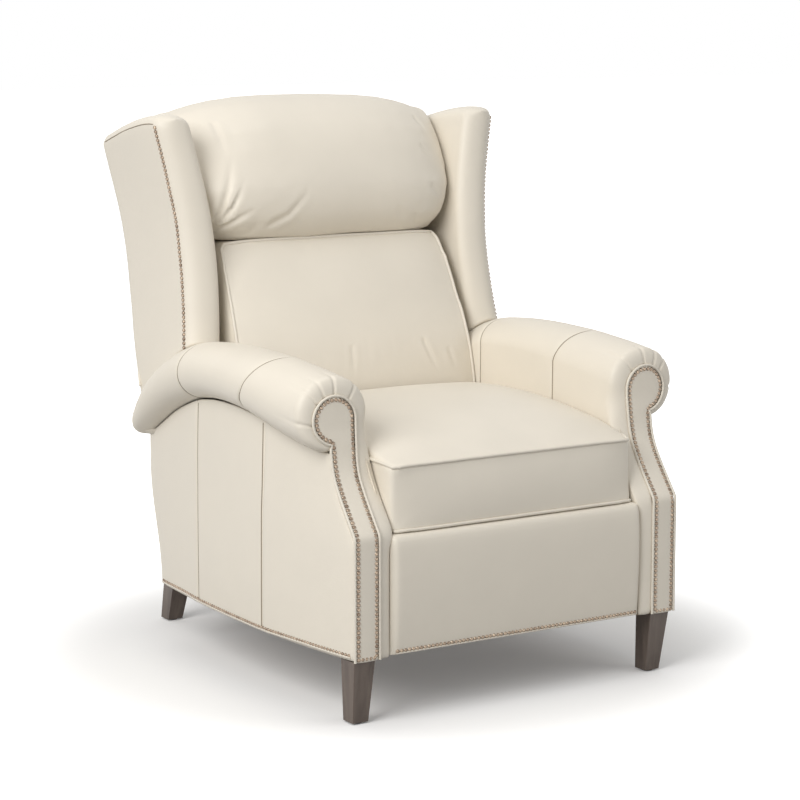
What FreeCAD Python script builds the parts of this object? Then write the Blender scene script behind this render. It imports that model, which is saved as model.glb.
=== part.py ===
# Wingback recliner: leather arms, wings and cushions over a wood frame and a steel mechanism.
# Millimetres, +Z up, the chair faces -Y. Sections are drawn with the posts' front face at
# Y = 0, and the finished chair is moved so that the origin is the middle of its footprint.
import FreeCAD, Part
import math
import os

V = FreeCAD.Vector

# Seat and arm widths
seat_width = 557.0           # seat cushion from side to side
seat_side_gap = 1.5          # free space between cushion and each arm
arm_width = 90.0             # one arm at its front post, pads included
inner_pad_thickness = 12.0   # leather and foam on the arm's seat side
side_board_thickness = 18.0  # plywood side of the base and arm
side_pad_thickness = 25.4    # leather and foam on the arm's outside, at its front end
side_pad_bulge = 27.0        # how far the outside pad swells in the middle
side_pad_drop = 1.0          # outside pad's upper edge below the roll
inner_pad_foot = 4.5         # inner pad's lower edge below the seat cushion's underside
soft_gap = 0.3               # a soft piece stays this far from its neighbour

# Heights
hem_height = 124.0           # lowest edge of the upholstery
post_height = 356.0          # where the arm front starts to sweep back
scroll_height = 561.0        # centre of the arm's scroll
arm_height = 661.0           # highest point of the arm roll
seat_bottom_height = 352.0   # underside of the seat cushion
seat_welt_height = 476.0     # upper welt at the seat cushion's front
seat_crown_height = 557.0    # highest point of the seat cushion
wing_top_front = 1093.0      # front upper corner of a wing
wing_top_rear = 1038.0       # rear upper corner of a wing
back_height = 1126.0         # highest point of the head pillow

# Depths, from the posts' front face
seat_front = 22.0
seat_rear = 545.0
arm_rear = 770.0             # rear end of the arm's side, at the hem
roll_rear = 812.0            # rear end of the arm roll

# Arm front
sweep_depth = 84.0           # how far the arm front sweeps back
front_panel_thickness = 12.0
scroll_radius = 44.0         # nailed disc on the scroll
roll_front = 97.0            # start of the roll behind the disc
roll_half_width = 76.0
roll_inset = 12.0            # roll's middle inside the arm's outer face
roll_lead = 20.0             # length of the rounded front end of the roll
roll_end_shrink = 14.0       # how much smaller the rounded end is

# Legs
leg_top = 46.0
leg_bottom = 34.0
front_leg_shift = -2.0       # how far a front leg's foot stands outside its top
leg_lean = 12.0              # how far a front leg's foot stands behind its top
rear_leg_rake = 28.0         # how far a rear leg's foot stands behind its top
rear_leg_shift = 6.0
rear_leg_inset = 11.0        # centre of a rear leg inside the rear box's side
rear_leg_y = 901.0           # centre of a rear leg's top
glide_radius = 11.0
glide_thickness = 3.0
leg_bolt_radius = 4.0
leg_bolt_length = 70.0
leg_bolt_inset = 8.0         # bolt behind the corner post's front face
bolt_clearance = 0.05        # radial space round a bolt or pin

# Wood frame
rail_thickness = 25.0
rail_height = 62.0
front_post_depth = 50.0
arm_rail_height = 40.0
rail_drop = 8.0              # upper rail's top below the roll
board_inset = 14.0           # board edge behind the padded front edge
arm_rear_lean = 25.0         # how far the arm's rear edge leans out at its top
cross_rail_front_y = 322.0
cross_rail_rear_y = 520.0
rear_box_front = 815.0
rear_box_rear = 935.0
rear_box_inset = 18.0        # rear box's side inside the arm's seat face
rear_box_height = 141.0
rear_box_wall = 6.0
rear_rail_height = 120.0

# Mechanism
plate_thickness = 3.5
plate_bottom = 262.0
plate_top = 336.0
plate_front = 120.0
plate_rear = 690.0
link_thickness = 4.0
link_half_width = 12.0
layer_gap = 0.3              # free space between neighbouring links
pivot_radius = 5.0
back_pivot_y = 615.0
back_pivot_z = 310.0
back_pivot_radius = 6.0
front_pivot_y = 165.0        # rear link's pivot on the plate
front_pivot_z = 300.0
rear_link_length = 190.0
rear_link_angle = -52.0      # degrees from +Y towards +Z, folded
board_pivot_y = 78.0         # front link's pivot on the footrest bracket, folded
board_pivot_z = 262.0
cross_tube_radius = 9.0
cross_tube_wall = 1.5
rivet_space = 40.0           # first mounting bolt behind the front pivot
mount_bolt_radius = 4.0
mount_bolt_head_radius = 7.0
mount_bolt_head = 4.0
mount_bolt_inset = 20.0      # rear bolt from the plate's rear end
mount_bolt_drop = 14.0       # bolts below the plate's upper edge
mount_bolt_count = 4
runner_height = 14.0         # runner under each side board of the seat
runner_width = 16.0
runner_front = 230.0
guide_front = 340.0
guide_rear = 560.0
guide_thickness = 4.0
guide_flange = 12.0

# Footrest
footrest_side_gap = 6.3      # free space beside the footrest, to the arms' boards
footrest_bottom = 126.0
footrest_top = 345.5
footrest_pad_thickness = 28.0
footrest_board_thickness = 16.0
footrest_face = 0.0          # front face of the closed pad

# Seat frame
seat_frame_inset = 16.5      # seat frame's side inside the cushion's side
seat_frame_front = 70.0
seat_frame_rear = 530.0
seat_board_thickness = 20.0
seat_board_height = 32.0
seat_deck_thickness = 4.0
spring_wire_radius = 1.9
spring_count = 4
spring_run = 24.0            # straight part of a zigzag spring's crossings
spring_end = 8.0             # straight lead at each end of a spring
spring_bends = 17
back_spring_count = 3
back_spring_bends = 15

# Back
back_rake = 22.0             # degrees
back_side_gap = 3.0          # free space between the back and each arm
back_post_width = 40.0
back_post_depth = 42.0
back_post_front = -34.0      # post face, square to the back, from the pivot
back_post_foot = -26.0       # post's lower end along the back, from the pivot
back_post_top = 760.0        # post's upper end along the back, from the pivot
back_rail_width = 50.0
back_rail_thickness = 22.0
bottom_rail_up = 40.0        # rails' lower edges along the back, from the pivot
lumbar_rail_up = 250.0
back_cushion_bottom = 368.0
back_cushion_foot = 548.0    # depth of the back cushion's front at its bottom
back_cushion_top = 831.0
back_cushion_crown = 20.0
bracket_plate_thickness = 4.0
outside_back_thickness = 12.0
outside_back_bottom = 300.0
back_cover_depth = 37.2      # outside back's rear face behind the posts, at its top
back_foot_tuck = 7.0         # lower end of the outside back ahead of its waist
lower_back_height = 505.0    # below this height the back is narrow, between the arms
lower_back_rear = 808.0      # rear face of the outside back at that height
wing_overhang = 6.0          # wing's outer face outside the arm's front panel
wing_thickness = 72.0
wing_board_depth = 30.0      # board's inner face behind the wing's outer face
wing_board_thickness = 14.0
wing_border = 30.0           # padded front edge ahead of the wing's board
wing_top_crown = 8.0
wing_gap_above_arm = 3.0
wing_seam_drop = 24.0        # outer panel's front upper corner below the wing's
wing_rail_heights = (440.0, 690.0)   # rails to the wings, along the back from the pivot
side_panel_thickness = 6.0   # panels that close the back's sides between the arms
wing_base_height = 635.0     # height at which the wing's widths hold
wing_base_depth = 600.0      # padded front edge at that height, then further up
wing_brow_height = 865.0
wing_brow_depth = 638.0
wing_top_depth = 667.0
wing_waist_height = 830.0
wing_waist = 11.0            # how far the wing leans in at its waist
wing_flare = 26.0            # how far it leans out at its top
back_bend_height = 790.0     # middle of the outside back's curve
back_bend_depth = 890.0

# Derived widths
arm_x = seat_width / 2 + seat_side_gap
board_x = arm_x + inner_pad_thickness + soft_gap
frame_x = board_x + side_board_thickness
outer_x = arm_x + arm_width
pad_x = outer_x - side_pad_thickness
frame_depth = pad_x - soft_gap - frame_x
plate_x = board_x - plate_thickness
rear_link_x = plate_x - layer_gap - link_thickness
front_link_x = rear_link_x - layer_gap - link_thickness
bracket_x = front_link_x - layer_gap - link_thickness
roll_x = outer_x - roll_inset
footrest_width = 2 * (board_x - footrest_side_gap)
seat_frame_half_width = seat_width / 2 - seat_frame_inset
back_lower_half_width = arm_x - back_side_gap
rear_box_half_width = arm_x - rear_box_inset
rear_leg_x = rear_box_half_width - rear_leg_inset
wing_outer_x = outer_x + wing_overhang
wing_inner_x = wing_outer_x - wing_thickness
wing_board_x = wing_outer_x - wing_board_depth

# Depth of the outside back at its top, from the raked posts' rear face
back_top_depth = (back_pivot_y + (wing_top_rear - back_pivot_z) * math.tan(math.radians(back_rake))
                  + (back_post_front + back_post_depth) / math.cos(math.radians(back_rake))
                  + back_cover_depth)

# Stations of the arm roll, front to rear: depth, top height, bottom height, half width
roll_stations = [
    (roll_front + roll_lead, scroll_height + 77.0, scroll_height - 61.0, roll_half_width),
    (200.0, arm_height - 13.0, 516.0, roll_half_width),
    (300.0, arm_height - 4.0, 537.0, roll_half_width),
    (410.0, arm_height, 550.0, roll_half_width),
    (510.0, arm_height - 4.0, 552.0, roll_half_width),
    (600.0, arm_height - 20.0, 536.0, roll_half_width - 1.0),
    (670.0, arm_height - 55.0, 504.0, roll_half_width - 4.0),
    (740.0, arm_height - 101.0, 462.0, roll_half_width - 10.0),
    (roll_rear - 14.0, arm_height - 157.0, 430.0, roll_half_width - 20.0),
    (roll_rear, arm_height - 187.0, 440.0, roll_half_width - 32.0),
]

# Rows of the back cushion, bottom to top: height, depth of its front at the sides, how far
# its sides draw in, share of its full crown
back_cushion_rows = [
    (back_cushion_bottom, back_cushion_foot, 3.0, 0.1),
    (back_cushion_bottom + 132.0, back_cushion_foot + 1.0, 0.0, 0.12),
    (back_cushion_bottom + 197.0, back_cushion_foot + 18.0, 0.0, 0.6),
    (back_cushion_bottom + 262.0, back_cushion_foot + 34.0, 0.0, 1.0),
    (back_cushion_bottom + 357.0, back_cushion_foot + 76.0, 4.0, 1.0),
    (back_cushion_top - 14.0, back_cushion_foot + 120.0, 11.0, 0.6),
    (back_cushion_top, back_cushion_foot + 136.0, 17.0, 0.2),
]

# Profile of the head pillow, each a height and a depth: seam over the back cushion, belly,
# chest, brow, ridge and nape, and how an end drops and draws back, from the middle outwards
pillow_seam = (back_cushion_top + soft_gap, 692.0)
pillow_belly = (905.0, 634.0)
pillow_chest = (1005.0, 664.0)
pillow_brow = (back_height - 34.0, 722.0)
pillow_ridge = (back_height, 825.0)
pillow_nape = (back_height - 30.0, 915.0)
pillow_ends = [(0.0, 0.0, 0.0), (80.0, 1.0, 0.0), (160.0, 6.0, 2.0), (230.0, 17.0, 6.0),
               (280.0, 27.0, 14.0), (wing_outer_x - 51.0, 38.0, 30.0)]

# Edges of a wing, bottom to top, as (height, depth): padded front edge, then the rear edge
# that the outside back shares
wing_front_edge = [(wing_base_height, wing_base_depth), (wing_brow_height, wing_brow_depth),
                   (wing_top_front, wing_top_depth)]
wing_rear_edge = [(lower_back_height, lower_back_rear), (back_bend_height, back_bend_depth),
                  (wing_top_rear, back_top_depth)]

# A wing leans in to its waist and out to its top: (height, distance outwards)
wing_lean = [(wing_base_height, 0.0), (wing_waist_height, -wing_waist), (wing_top_front, wing_flare)]


def box(x0, x1, y0, y1, z0, z1):
    return Part.makeBox(x1 - x0, y1 - y0, z1 - z0, V(x0, y0, z0))


def rod(x0, x1, y, z, radius):
    """Round bar along X."""
    return Part.makeCylinder(radius, x1 - x0, V(x0, y, z), V(1, 0, 0))


def mirror(shape):
    return shape.mirror(V(0, 0, 0), V(1, 0, 0))


def line(a, b):
    return Part.LineSegment(a, b).toShape()


def arc(a, b, c):
    return Part.Arc(a, b, c).toShape()


def chain(points):
    """Straight edges from each point to the next."""
    return [line(a, b) for a, b in zip(points, points[1:])]


def side_plate(points, x0, x1):
    """Flat piece whose outline is given as depth and height, between two widths."""
    corners = [V(x0, y, z) for y, z in points]
    wire = Part.makePolygon(corners + [corners[0]])
    return Part.Face(wire).extrude(V(x1 - x0, 0, 0))


def capsule(y0, z0, y1, z1, half_width, x0, x1):
    """Link with round ends about two pivots."""
    length = math.hypot(y1 - y0, z1 - z0)
    dy, dz = (y1 - y0) / length, (z1 - z0) / length
    ny, nz = -dz * half_width, dy * half_width
    a, b = V(x0, y0 + ny, z0 + nz), V(x0, y1 + ny, z1 + nz)
    c, d = V(x0, y1 - ny, z1 - nz), V(x0, y0 - ny, z0 - nz)
    far = V(x0, y1 + dy * half_width, z1 + dz * half_width)
    near = V(x0, y0 - dy * half_width, z0 - dz * half_width)
    wire = Part.Wire([line(a, b), arc(b, far, c), line(c, d), arc(d, near, a)])
    return Part.Face(wire).extrude(V(x1 - x0, 0, 0))


def circle_depth(points, height):
    """Depth, at a height, of the circle through three (height, depth) points."""
    (h0, d0), (h1, d1), (h2, d2) = points
    a = h0 * (d1 - d2) - d0 * (h1 - h2) + h1 * d2 - h2 * d1
    s0, s1, s2 = h0 * h0 + d0 * d0, h1 * h1 + d1 * d1, h2 * h2 + d2 * d2
    centre_h = (s0 * (d1 - d2) + s1 * (d2 - d0) + s2 * (d0 - d1)) / (2 * a)
    centre_d = (s0 * (h2 - h1) + s1 * (h0 - h2) + s2 * (h1 - h0)) / (2 * a)
    radius = math.hypot(h0 - centre_h, d0 - centre_d)
    root = math.sqrt(radius * radius - (height - centre_h) ** 2)
    return centre_d + root if d1 > centre_d else centre_d - root


def roll_value(depth, column):
    """Value of a column of the roll's stations at any depth."""
    for low, high in zip(roll_stations, roll_stations[1:]):
        if low[0] <= depth <= high[0]:
            share = (depth - low[0]) / (high[0] - low[0])
            return low[column] + share * (high[column] - low[column])
    return roll_stations[0][column] if depth < roll_stations[0][0] else roll_stations[-1][column]


def roll_top(depth):
    return roll_value(depth, 1)


def roll_bottom(depth):
    return roll_value(depth, 2)


def back_point(up, out):
    """Depth and height of a point along the raked back and square to it."""
    rake = math.radians(back_rake)
    y = back_pivot_y + up * math.sin(rake) + out * math.cos(rake)
    z = back_pivot_z + up * math.cos(rake) - out * math.sin(rake)
    return y, z


def back_plane(out, z):
    """Depth, at height z, of the plane parallel to the back."""
    rake = math.radians(back_rake)
    return back_pivot_y + (z - back_pivot_z) * math.tan(rake) + out / math.cos(rake)


def back_bar(up0, up1, out0, out1, x0, x1):
    """Straight bar of the back's frame."""
    corners = [back_point(up0, out0), back_point(up1, out0),
               back_point(up1, out1), back_point(up0, out1)]
    return side_plate(corners, x0, x1)


# Arm front

def sweep_edge(x, offset):
    """Kink, middle and top of the arm's swept front edge, moved back by the offset."""
    kink = V(x, offset, post_height + offset * 0.5)
    middle = V(x, sweep_depth * 0.63 + offset * 0.8, post_height + 72.0 + offset * 0.55)
    top = V(x, sweep_depth + offset, post_height + 170.0)
    return kink, middle, top


def swept_slab(x0, x1, offset, back, bottom, top_height):
    """Flat piece with the arm's swept front edge, as far back as a given depth."""
    kink, middle, top = sweep_edge(x0, offset)
    foot, head = V(x0, offset, bottom), V(x0, top.y, top_height)
    rear_head, rear_foot = V(x0, back, top_height), V(x0, back, bottom)
    edges = [line(foot, kink), arc(kink, middle, top)]
    edges += chain([top, head, rear_head, rear_foot, foot])
    return Part.Face(Part.Wire(edges)).extrude(V(x1 - x0, 0, 0))


def swept_strip(x0, x1, near, far, top_height):
    """Strip between two offsets of the arm's swept front edge."""
    back = sweep_depth + far + 60.0
    front = swept_slab(x0, x1, near, back, hem_height, top_height)
    behind = swept_slab(x0 - 1, x1 + 1, far, back + 1, hem_height - 1, top_height + 1)
    return front.cut(behind)


def arm_front_panel():
    """Nailed panel on the post, the sweep and the scroll."""
    strip = swept_strip(board_x, outer_x - soft_gap, 0.0, front_panel_thickness, scroll_height)
    neck = outer_x - 2 * scroll_radius + 36.0
    strip = strip.cut(box(board_x - 1, neck, sweep_depth - 30.0, sweep_depth + 40.0,
                          scroll_height - 60.0, scroll_height + 1))
    disc = Part.makeCylinder(scroll_radius, front_panel_thickness,
                             V(outer_x - 10.0, sweep_depth, scroll_height), V(0, 1, 0))
    return strip.fuse(disc).removeSplitter()


def arm_front_board():
    """Plywood behind the front panel."""
    near = front_panel_thickness + soft_gap
    x1 = frame_x + frame_depth
    strip = swept_strip(frame_x, x1, near, near + side_board_thickness, scroll_height)
    return strip.cut(box(frame_x - 1, x1 + 1, 0.0, sweep_depth + 100.0,
                         roll_stations[0][2] - soft_gap, scroll_height + 1))


# Arm roll and sides

def roll_section(depth, top, bottom, half_width):
    """Closed section of the arm roll: flat inside and underneath, round above and outside."""
    inner, outer = roll_x - half_width, roll_x + half_width
    middle = (top + bottom) / 2
    rise = top - middle
    low_outer = outer_x - (roll_half_width - half_width) * 0.6
    slant = math.sqrt(0.5)
    a, b = V(inner, depth, bottom), V(inner, depth, middle)
    c = V(roll_x, depth, top)
    d, e = V(outer, depth, middle), V(low_outer, depth, bottom)
    inner_bend = V(roll_x - half_width * slant, depth, middle + rise * slant)
    outer_bend = V(roll_x + half_width * slant, depth, middle + rise * slant)
    under_bend = V(outer - (outer - low_outer) * 0.25, depth, middle - rise * 0.66)
    return Part.Wire([line(a, b), arc(b, inner_bend, c), arc(c, outer_bend, d),
                      arc(d, under_bend, e), line(e, a)])


def arm_roll():
    depth, top, bottom, half_width = roll_stations[0]
    wires = [roll_section(roll_front, top - roll_end_shrink, bottom + roll_end_shrink,
                          half_width - roll_end_shrink)]
    wires += [roll_section(*row) for row in roll_stations]
    return Part.makeLoft(wires, True, True)


def under_roll(x0, x1, drop, rear_inset):
    """Space under the arm roll, as far back as the arm's leaning rear edge."""
    rear_top = arm_rear + arm_rear_lean - rear_inset
    depths = [row[0] for row in roll_stations if row[0] < rear_top] + [rear_top]
    points = [(-10.0, hem_height - 10.0), (-10.0, roll_bottom(0) - drop)]
    points += [(depth, roll_bottom(depth) - drop) for depth in depths]
    points.append((arm_rear - rear_inset, hem_height - 10.0))
    return side_plate(points, x0, x1)


def arm_side(x0, x1, offset, drop, rear_inset, bottom):
    """Flat piece of the arm's side: swept front, edge under the roll, leaning rear edge."""
    slab = swept_slab(x0, x1, offset, roll_rear, bottom, arm_height)
    return slab.common(under_roll(x0 - 1, x1 + 1, drop, rear_inset))


def arm_side_board():
    """Plywood side of the base and the arm, with the mechanism's bolt holes."""
    board = arm_side(board_x, frame_x, board_inset, soft_gap, 12.0, hem_height)
    for y in mount_bolt_depths():
        board = board.cut(rod(board_x, frame_x, y, plate_top - mount_bolt_drop,
                              mount_bolt_radius + bolt_clearance))
    return board


def arm_inner_pad():
    return arm_side(arm_x, arm_x + inner_pad_thickness, 2.0, soft_gap, 8.0,
                    seat_bottom_height - inner_pad_foot)


def arm_side_pad():
    """Outside of the arm: swells in the middle, cut to the arm's outline."""
    near, far = 0.0, arm_rear + 20.0
    a, b = V(pad_x, near, hem_height), V(outer_x, near, hem_height)
    swell = V(outer_x + side_pad_bulge, far * 0.56, hem_height)
    c, d = V(outer_x + 2.0, far, hem_height), V(pad_x, far, hem_height)
    rear = [V(outer_x + 2.0, far + 40.0, hem_height), V(pad_x, far + 40.0, hem_height)]
    wire = Part.Wire([line(a, b), arc(b, swell, c)] + chain([c, rear[0], rear[1], a]))
    body = Part.Face(wire).extrude(V(0, 0, arm_height - hem_height))
    return body.common(arm_side(pad_x - 1, outer_x + side_pad_bulge + 5.0,
                                front_panel_thickness + soft_gap, side_pad_drop, 0.0,
                                hem_height))


def corner_post_front():
    return front_panel_thickness + soft_gap + side_board_thickness


def arm_rails():
    """Wood rails of the arm's frame: under the roll, along the hem and at the rear."""
    x0, x1 = frame_x, frame_x + frame_depth
    front = sweep_depth + 40.0
    rear = roll_stations[5][0] - 20.0
    depths = [row[0] for row in roll_stations if front < row[0] < rear] + [front, rear]
    top = min(roll_bottom(depth) for depth in depths) - rail_drop
    upper = box(x0, x1, front, rear, top - arm_rail_height, top)
    post_rear = arm_rear - 20.0
    lower = box(x0, x1, corner_post_front() + front_post_depth, post_rear - rail_thickness,
                hem_height, hem_height + arm_rail_height)
    post = box(x0, x1, post_rear - rail_thickness, post_rear, hem_height,
               roll_bottom(post_rear) - 12.0)
    return upper, lower, post


def arm_corner_post():
    """Block behind the front board that the front leg is screwed to."""
    y0 = corner_post_front()
    block = box(frame_x, frame_x + frame_depth, y0, y0 + front_post_depth, hem_height,
                post_height - 40.0)
    return block.cut(leg_bolt(*front_bolt_spot(), bolt_clearance))


# Legs

def front_leg_spot():
    """Middle of a front leg's top."""
    return outer_x - 3.0 - leg_top / 2, 10.0 + leg_top / 2


def front_bolt_spot():
    return frame_x + frame_depth - leg_bolt_inset - leg_bolt_radius, (corner_post_front()
                                                                     + leg_bolt_inset)


def rear_bolt_spot():
    rail_outer = rear_box_half_width - rear_box_wall - soft_gap
    return rail_outer - rail_thickness / 2, rear_leg_y


def leg_bolt(x, y, extra):
    return Part.makeCylinder(leg_bolt_radius + extra, leg_bolt_length + 2 * extra,
                             V(x, y, hem_height - leg_bolt_length / 2 - extra))


def leg(spot, bolt_spot, dx, dy):
    """Square leg that tapers to a smaller foot, shifted by dx and dy."""
    def square(cx, cy, z, size):
        h = size / 2
        corners = [V(cx - h, cy - h, z), V(cx + h, cy - h, z), V(cx + h, cy + h, z),
                   V(cx - h, cy + h, z)]
        return Part.makePolygon(corners + [corners[0]])
    x, y = spot
    body = Part.makeLoft([square(x, y, hem_height, leg_top),
                          square(x + dx, y + dy, glide_thickness, leg_bottom)], True, True)
    return body.cut(leg_bolt(*bolt_spot, bolt_clearance))


def front_leg():
    return leg(front_leg_spot(), front_bolt_spot(), front_leg_shift, leg_lean)


def rear_leg():
    return leg((rear_leg_x, rear_leg_y), rear_bolt_spot(), rear_leg_shift, rear_leg_rake)


def leg_glides():
    x, y = front_leg_spot()
    spots = [(x + front_leg_shift, y + leg_lean),
             (rear_leg_x + rear_leg_shift, rear_leg_y + rear_leg_rake)]
    discs = [Part.makeCylinder(glide_radius, glide_thickness, V(px, py, 0)) for px, py in spots]
    return discs + [mirror(disc) for disc in discs]


def leg_bolts():
    bolts = [leg_bolt(*spot, 0.0) for spot in (front_bolt_spot(), rear_bolt_spot())]
    return bolts + [mirror(bolt) for bolt in bolts]


# Base frame between the arms

def cross_rail(y):
    return box(-board_x, board_x, y, y + rail_thickness, hem_height, hem_height + rail_height)


def rear_side_rail():
    """Rail that carries a rear leg, from the rear cross rail to the rear box."""
    x1 = rear_box_half_width - rear_box_wall - soft_gap
    rail = box(x1 - rail_thickness, x1, cross_rail_rear_y + rail_thickness,
               rear_box_rear - rear_box_wall - soft_gap, hem_height, hem_height + rail_height)
    return rail.cut(leg_bolt(*rear_bolt_spot(), bolt_clearance))


def rear_rail():
    x1 = rear_box_half_width - rear_box_wall - soft_gap - rail_thickness
    y1 = rear_box_rear - rear_box_wall - soft_gap
    return box(-x1, x1, y1 - rail_thickness, y1, hem_height, hem_height + rear_rail_height)


def rear_box_cover():
    """Padded cover of the rear of the base, open below, with slots for the side rails."""
    x1, wall = rear_box_half_width, rear_box_wall
    top = hem_height + rear_box_height
    shell = box(-x1, x1, rear_box_front, rear_box_rear, hem_height, top)
    shell = shell.cut(box(-x1 + wall, x1 - wall, rear_box_front + wall, rear_box_rear - wall,
                          hem_height, top - wall))
    rail_x = x1 - wall - soft_gap - rail_thickness - soft_gap
    for sign in (1, -1):
        low, high = sorted((sign * rail_x, sign * (x1 - wall)))
        shell = shell.cut(box(low, high, rear_box_front - 1, rear_box_front + wall + 1,
                              hem_height, hem_height + rail_height + soft_gap))
    return shell


# Mechanism

def mount_bolt_depths():
    first = front_pivot_y + rivet_space
    last = plate_rear - mount_bolt_inset
    steps = mount_bolt_count - 1
    return [first + (last - first) * i / steps for i in range(mount_bolt_count)]


def mechanism_plate():
    """Steel plate bolted to the side board; it carries both pivots on one side."""
    plate = box(plate_x, board_x, plate_front, plate_rear, plate_bottom, plate_top)
    holes = [rod(plate_x, board_x, y, plate_top - mount_bolt_drop,
                 mount_bolt_radius + bolt_clearance) for y in mount_bolt_depths()]
    holes.append(rod(plate_x, board_x, front_pivot_y, front_pivot_z, pivot_radius))
    holes.append(rod(plate_x, board_x, back_pivot_y, back_pivot_z, back_pivot_radius))
    for hole in holes:
        plate = plate.cut(hole)
    return plate


def mount_bolts():
    """Bolts through the plates into the side boards, heads towards the middle."""
    bolts = []
    z = plate_top - mount_bolt_drop
    for y in mount_bolt_depths():
        shank = rod(plate_x, frame_x, y, z, mount_bolt_radius)
        head = rod(plate_x - mount_bolt_head, plate_x, y, z, mount_bolt_head_radius)
        bolts.append(shank.fuse(head).removeSplitter())
    return bolts + [mirror(bolt) for bolt in bolts]


def rear_link_end():
    angle = math.radians(rear_link_angle)
    return (front_pivot_y + rear_link_length * math.cos(angle),
            front_pivot_z + rear_link_length * math.sin(angle))


def rear_link():
    y, z = rear_link_end()
    x0, x1 = rear_link_x, rear_link_x + link_thickness
    link = capsule(front_pivot_y, front_pivot_z, y, z, link_half_width, x0, x1)
    for py, pz in ((front_pivot_y, front_pivot_z), (y, z)):
        link = link.cut(rod(x0, x1, py, pz, pivot_radius + bolt_clearance))
    return link


def front_link():
    y, z = rear_link_end()
    x0, x1 = front_link_x, front_link_x + link_thickness
    link = capsule(y, z, board_pivot_y, board_pivot_z, link_half_width, x0, x1)
    link = link.cut(rod(x0, x1, y, z, pivot_radius))
    return link.cut(rod(x0, x1, board_pivot_y, board_pivot_z, pivot_radius + bolt_clearance))


def plate_pivots():
    """Pins fixed in the plates: the footrest's rear pivots and the back's pivots."""
    pins = [rod(rear_link_x, board_x, front_pivot_y, front_pivot_z, pivot_radius),
            rod(back_lower_half_width + soft_gap, board_x, back_pivot_y, back_pivot_z,
                back_pivot_radius)]
    return pins + [mirror(pin) for pin in pins]


def link_pivots():
    """Pins fixed in the front links, turning in the rear links."""
    y, z = rear_link_end()
    pin = rod(front_link_x, rear_link_x + link_thickness, y, z, pivot_radius)
    return [pin, mirror(pin)]


def board_pivots():
    """Pins fixed in the footrest brackets, turning in the front links."""
    pin = rod(bracket_x, front_link_x + link_thickness, board_pivot_y, board_pivot_z,
              pivot_radius)
    return [pin, mirror(pin)]


def drive_tube():
    """Tube that joins the left and right rear links, so that both sides move together."""
    x1 = rear_link_x
    tube = rod(-x1, x1, front_pivot_y, front_pivot_z, cross_tube_radius)
    return tube.cut(rod(-x1, x1, front_pivot_y, front_pivot_z,
                        cross_tube_radius - cross_tube_wall))


# Footrest

def footrest_board():
    y0 = footrest_face + footrest_pad_thickness + soft_gap
    half = footrest_width / 2 - 6.0
    return box(-half, half, y0, y0 + footrest_board_thickness, footrest_bottom + 6.0,
               footrest_top - 6.0)


def footrest_pad():
    """Padded face of the footrest with a rounded upper edge and a slight crown."""
    y1 = footrest_face + footrest_pad_thickness
    half, face, radius = footrest_width / 2, footrest_face, 14.0
    a, b = V(-half, y1, footrest_bottom), V(-half, face + 4.0, footrest_bottom)
    middle = V(-half, face, (footrest_bottom + footrest_top) / 2)
    c = V(-half, face + 4.0, footrest_top - radius)
    d, e = V(-half, face + radius + 2.0, footrest_top), V(-half, y1, footrest_top)
    bend = V(-half, face + 7.5, footrest_top - 4.5)
    wire = Part.Wire([line(a, b), arc(b, middle, c), arc(c, bend, d), line(d, e), line(e, a)])
    return Part.Face(wire).extrude(V(footrest_width, 0, 0))


def footrest_bracket():
    """Steel angle screwed to the board's back; it carries the front link's pivot."""
    y0 = footrest_face + footrest_pad_thickness + soft_gap + footrest_board_thickness
    reach = board_pivot_y + link_half_width
    ear = box(bracket_x, bracket_x + link_thickness, y0, reach, board_pivot_z - 28.0,
              board_pivot_z + 28.0)
    flange = box(bracket_x - 22.0, bracket_x + link_thickness, y0, y0 + 3.0,
                 board_pivot_z - 60.0, board_pivot_z + 60.0)
    bracket = ear.fuse(flange).removeSplitter()
    return bracket.cut(rod(bracket_x, front_link_x, board_pivot_y, board_pivot_z, pivot_radius))


# Seat

def seat_frame_top():
    return seat_bottom_height - seat_deck_thickness - 2 * soft_gap


def seat_frame_bottom():
    return seat_frame_top() - seat_board_height


def seat_cross_boards():
    half, t = seat_frame_half_width, seat_board_thickness
    low, top = seat_frame_bottom(), seat_frame_top()
    return [box(-half, half, seat_frame_front, seat_frame_front + t, low, top),
            box(-half, half, seat_frame_rear - t, seat_frame_rear, low, top)]


def seat_side_board():
    half, t = seat_frame_half_width, seat_board_thickness
    return box(half - t, half, seat_frame_front + t, seat_frame_rear - t, seat_frame_bottom(),
               seat_frame_top())


def seat_runner():
    """Steel runner under the side board; it slides on the guide."""
    half = seat_frame_half_width
    return box(half - runner_width, half, runner_front, seat_frame_rear,
               seat_frame_bottom() - runner_height, seat_frame_bottom())


def seat_guide():
    """Steel angle fixed to the mechanism plate; the runner slides on its shelf."""
    top = seat_frame_bottom() - runner_height - layer_gap
    low = top - guide_thickness
    shelf = box(seat_frame_half_width - runner_width, plate_x, guide_front, guide_rear, low, top)
    flange = box(plate_x - guide_thickness, plate_x, guide_front, guide_rear,
                 low - guide_flange, low)
    return shelf.fuse(flange).removeSplitter()


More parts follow.
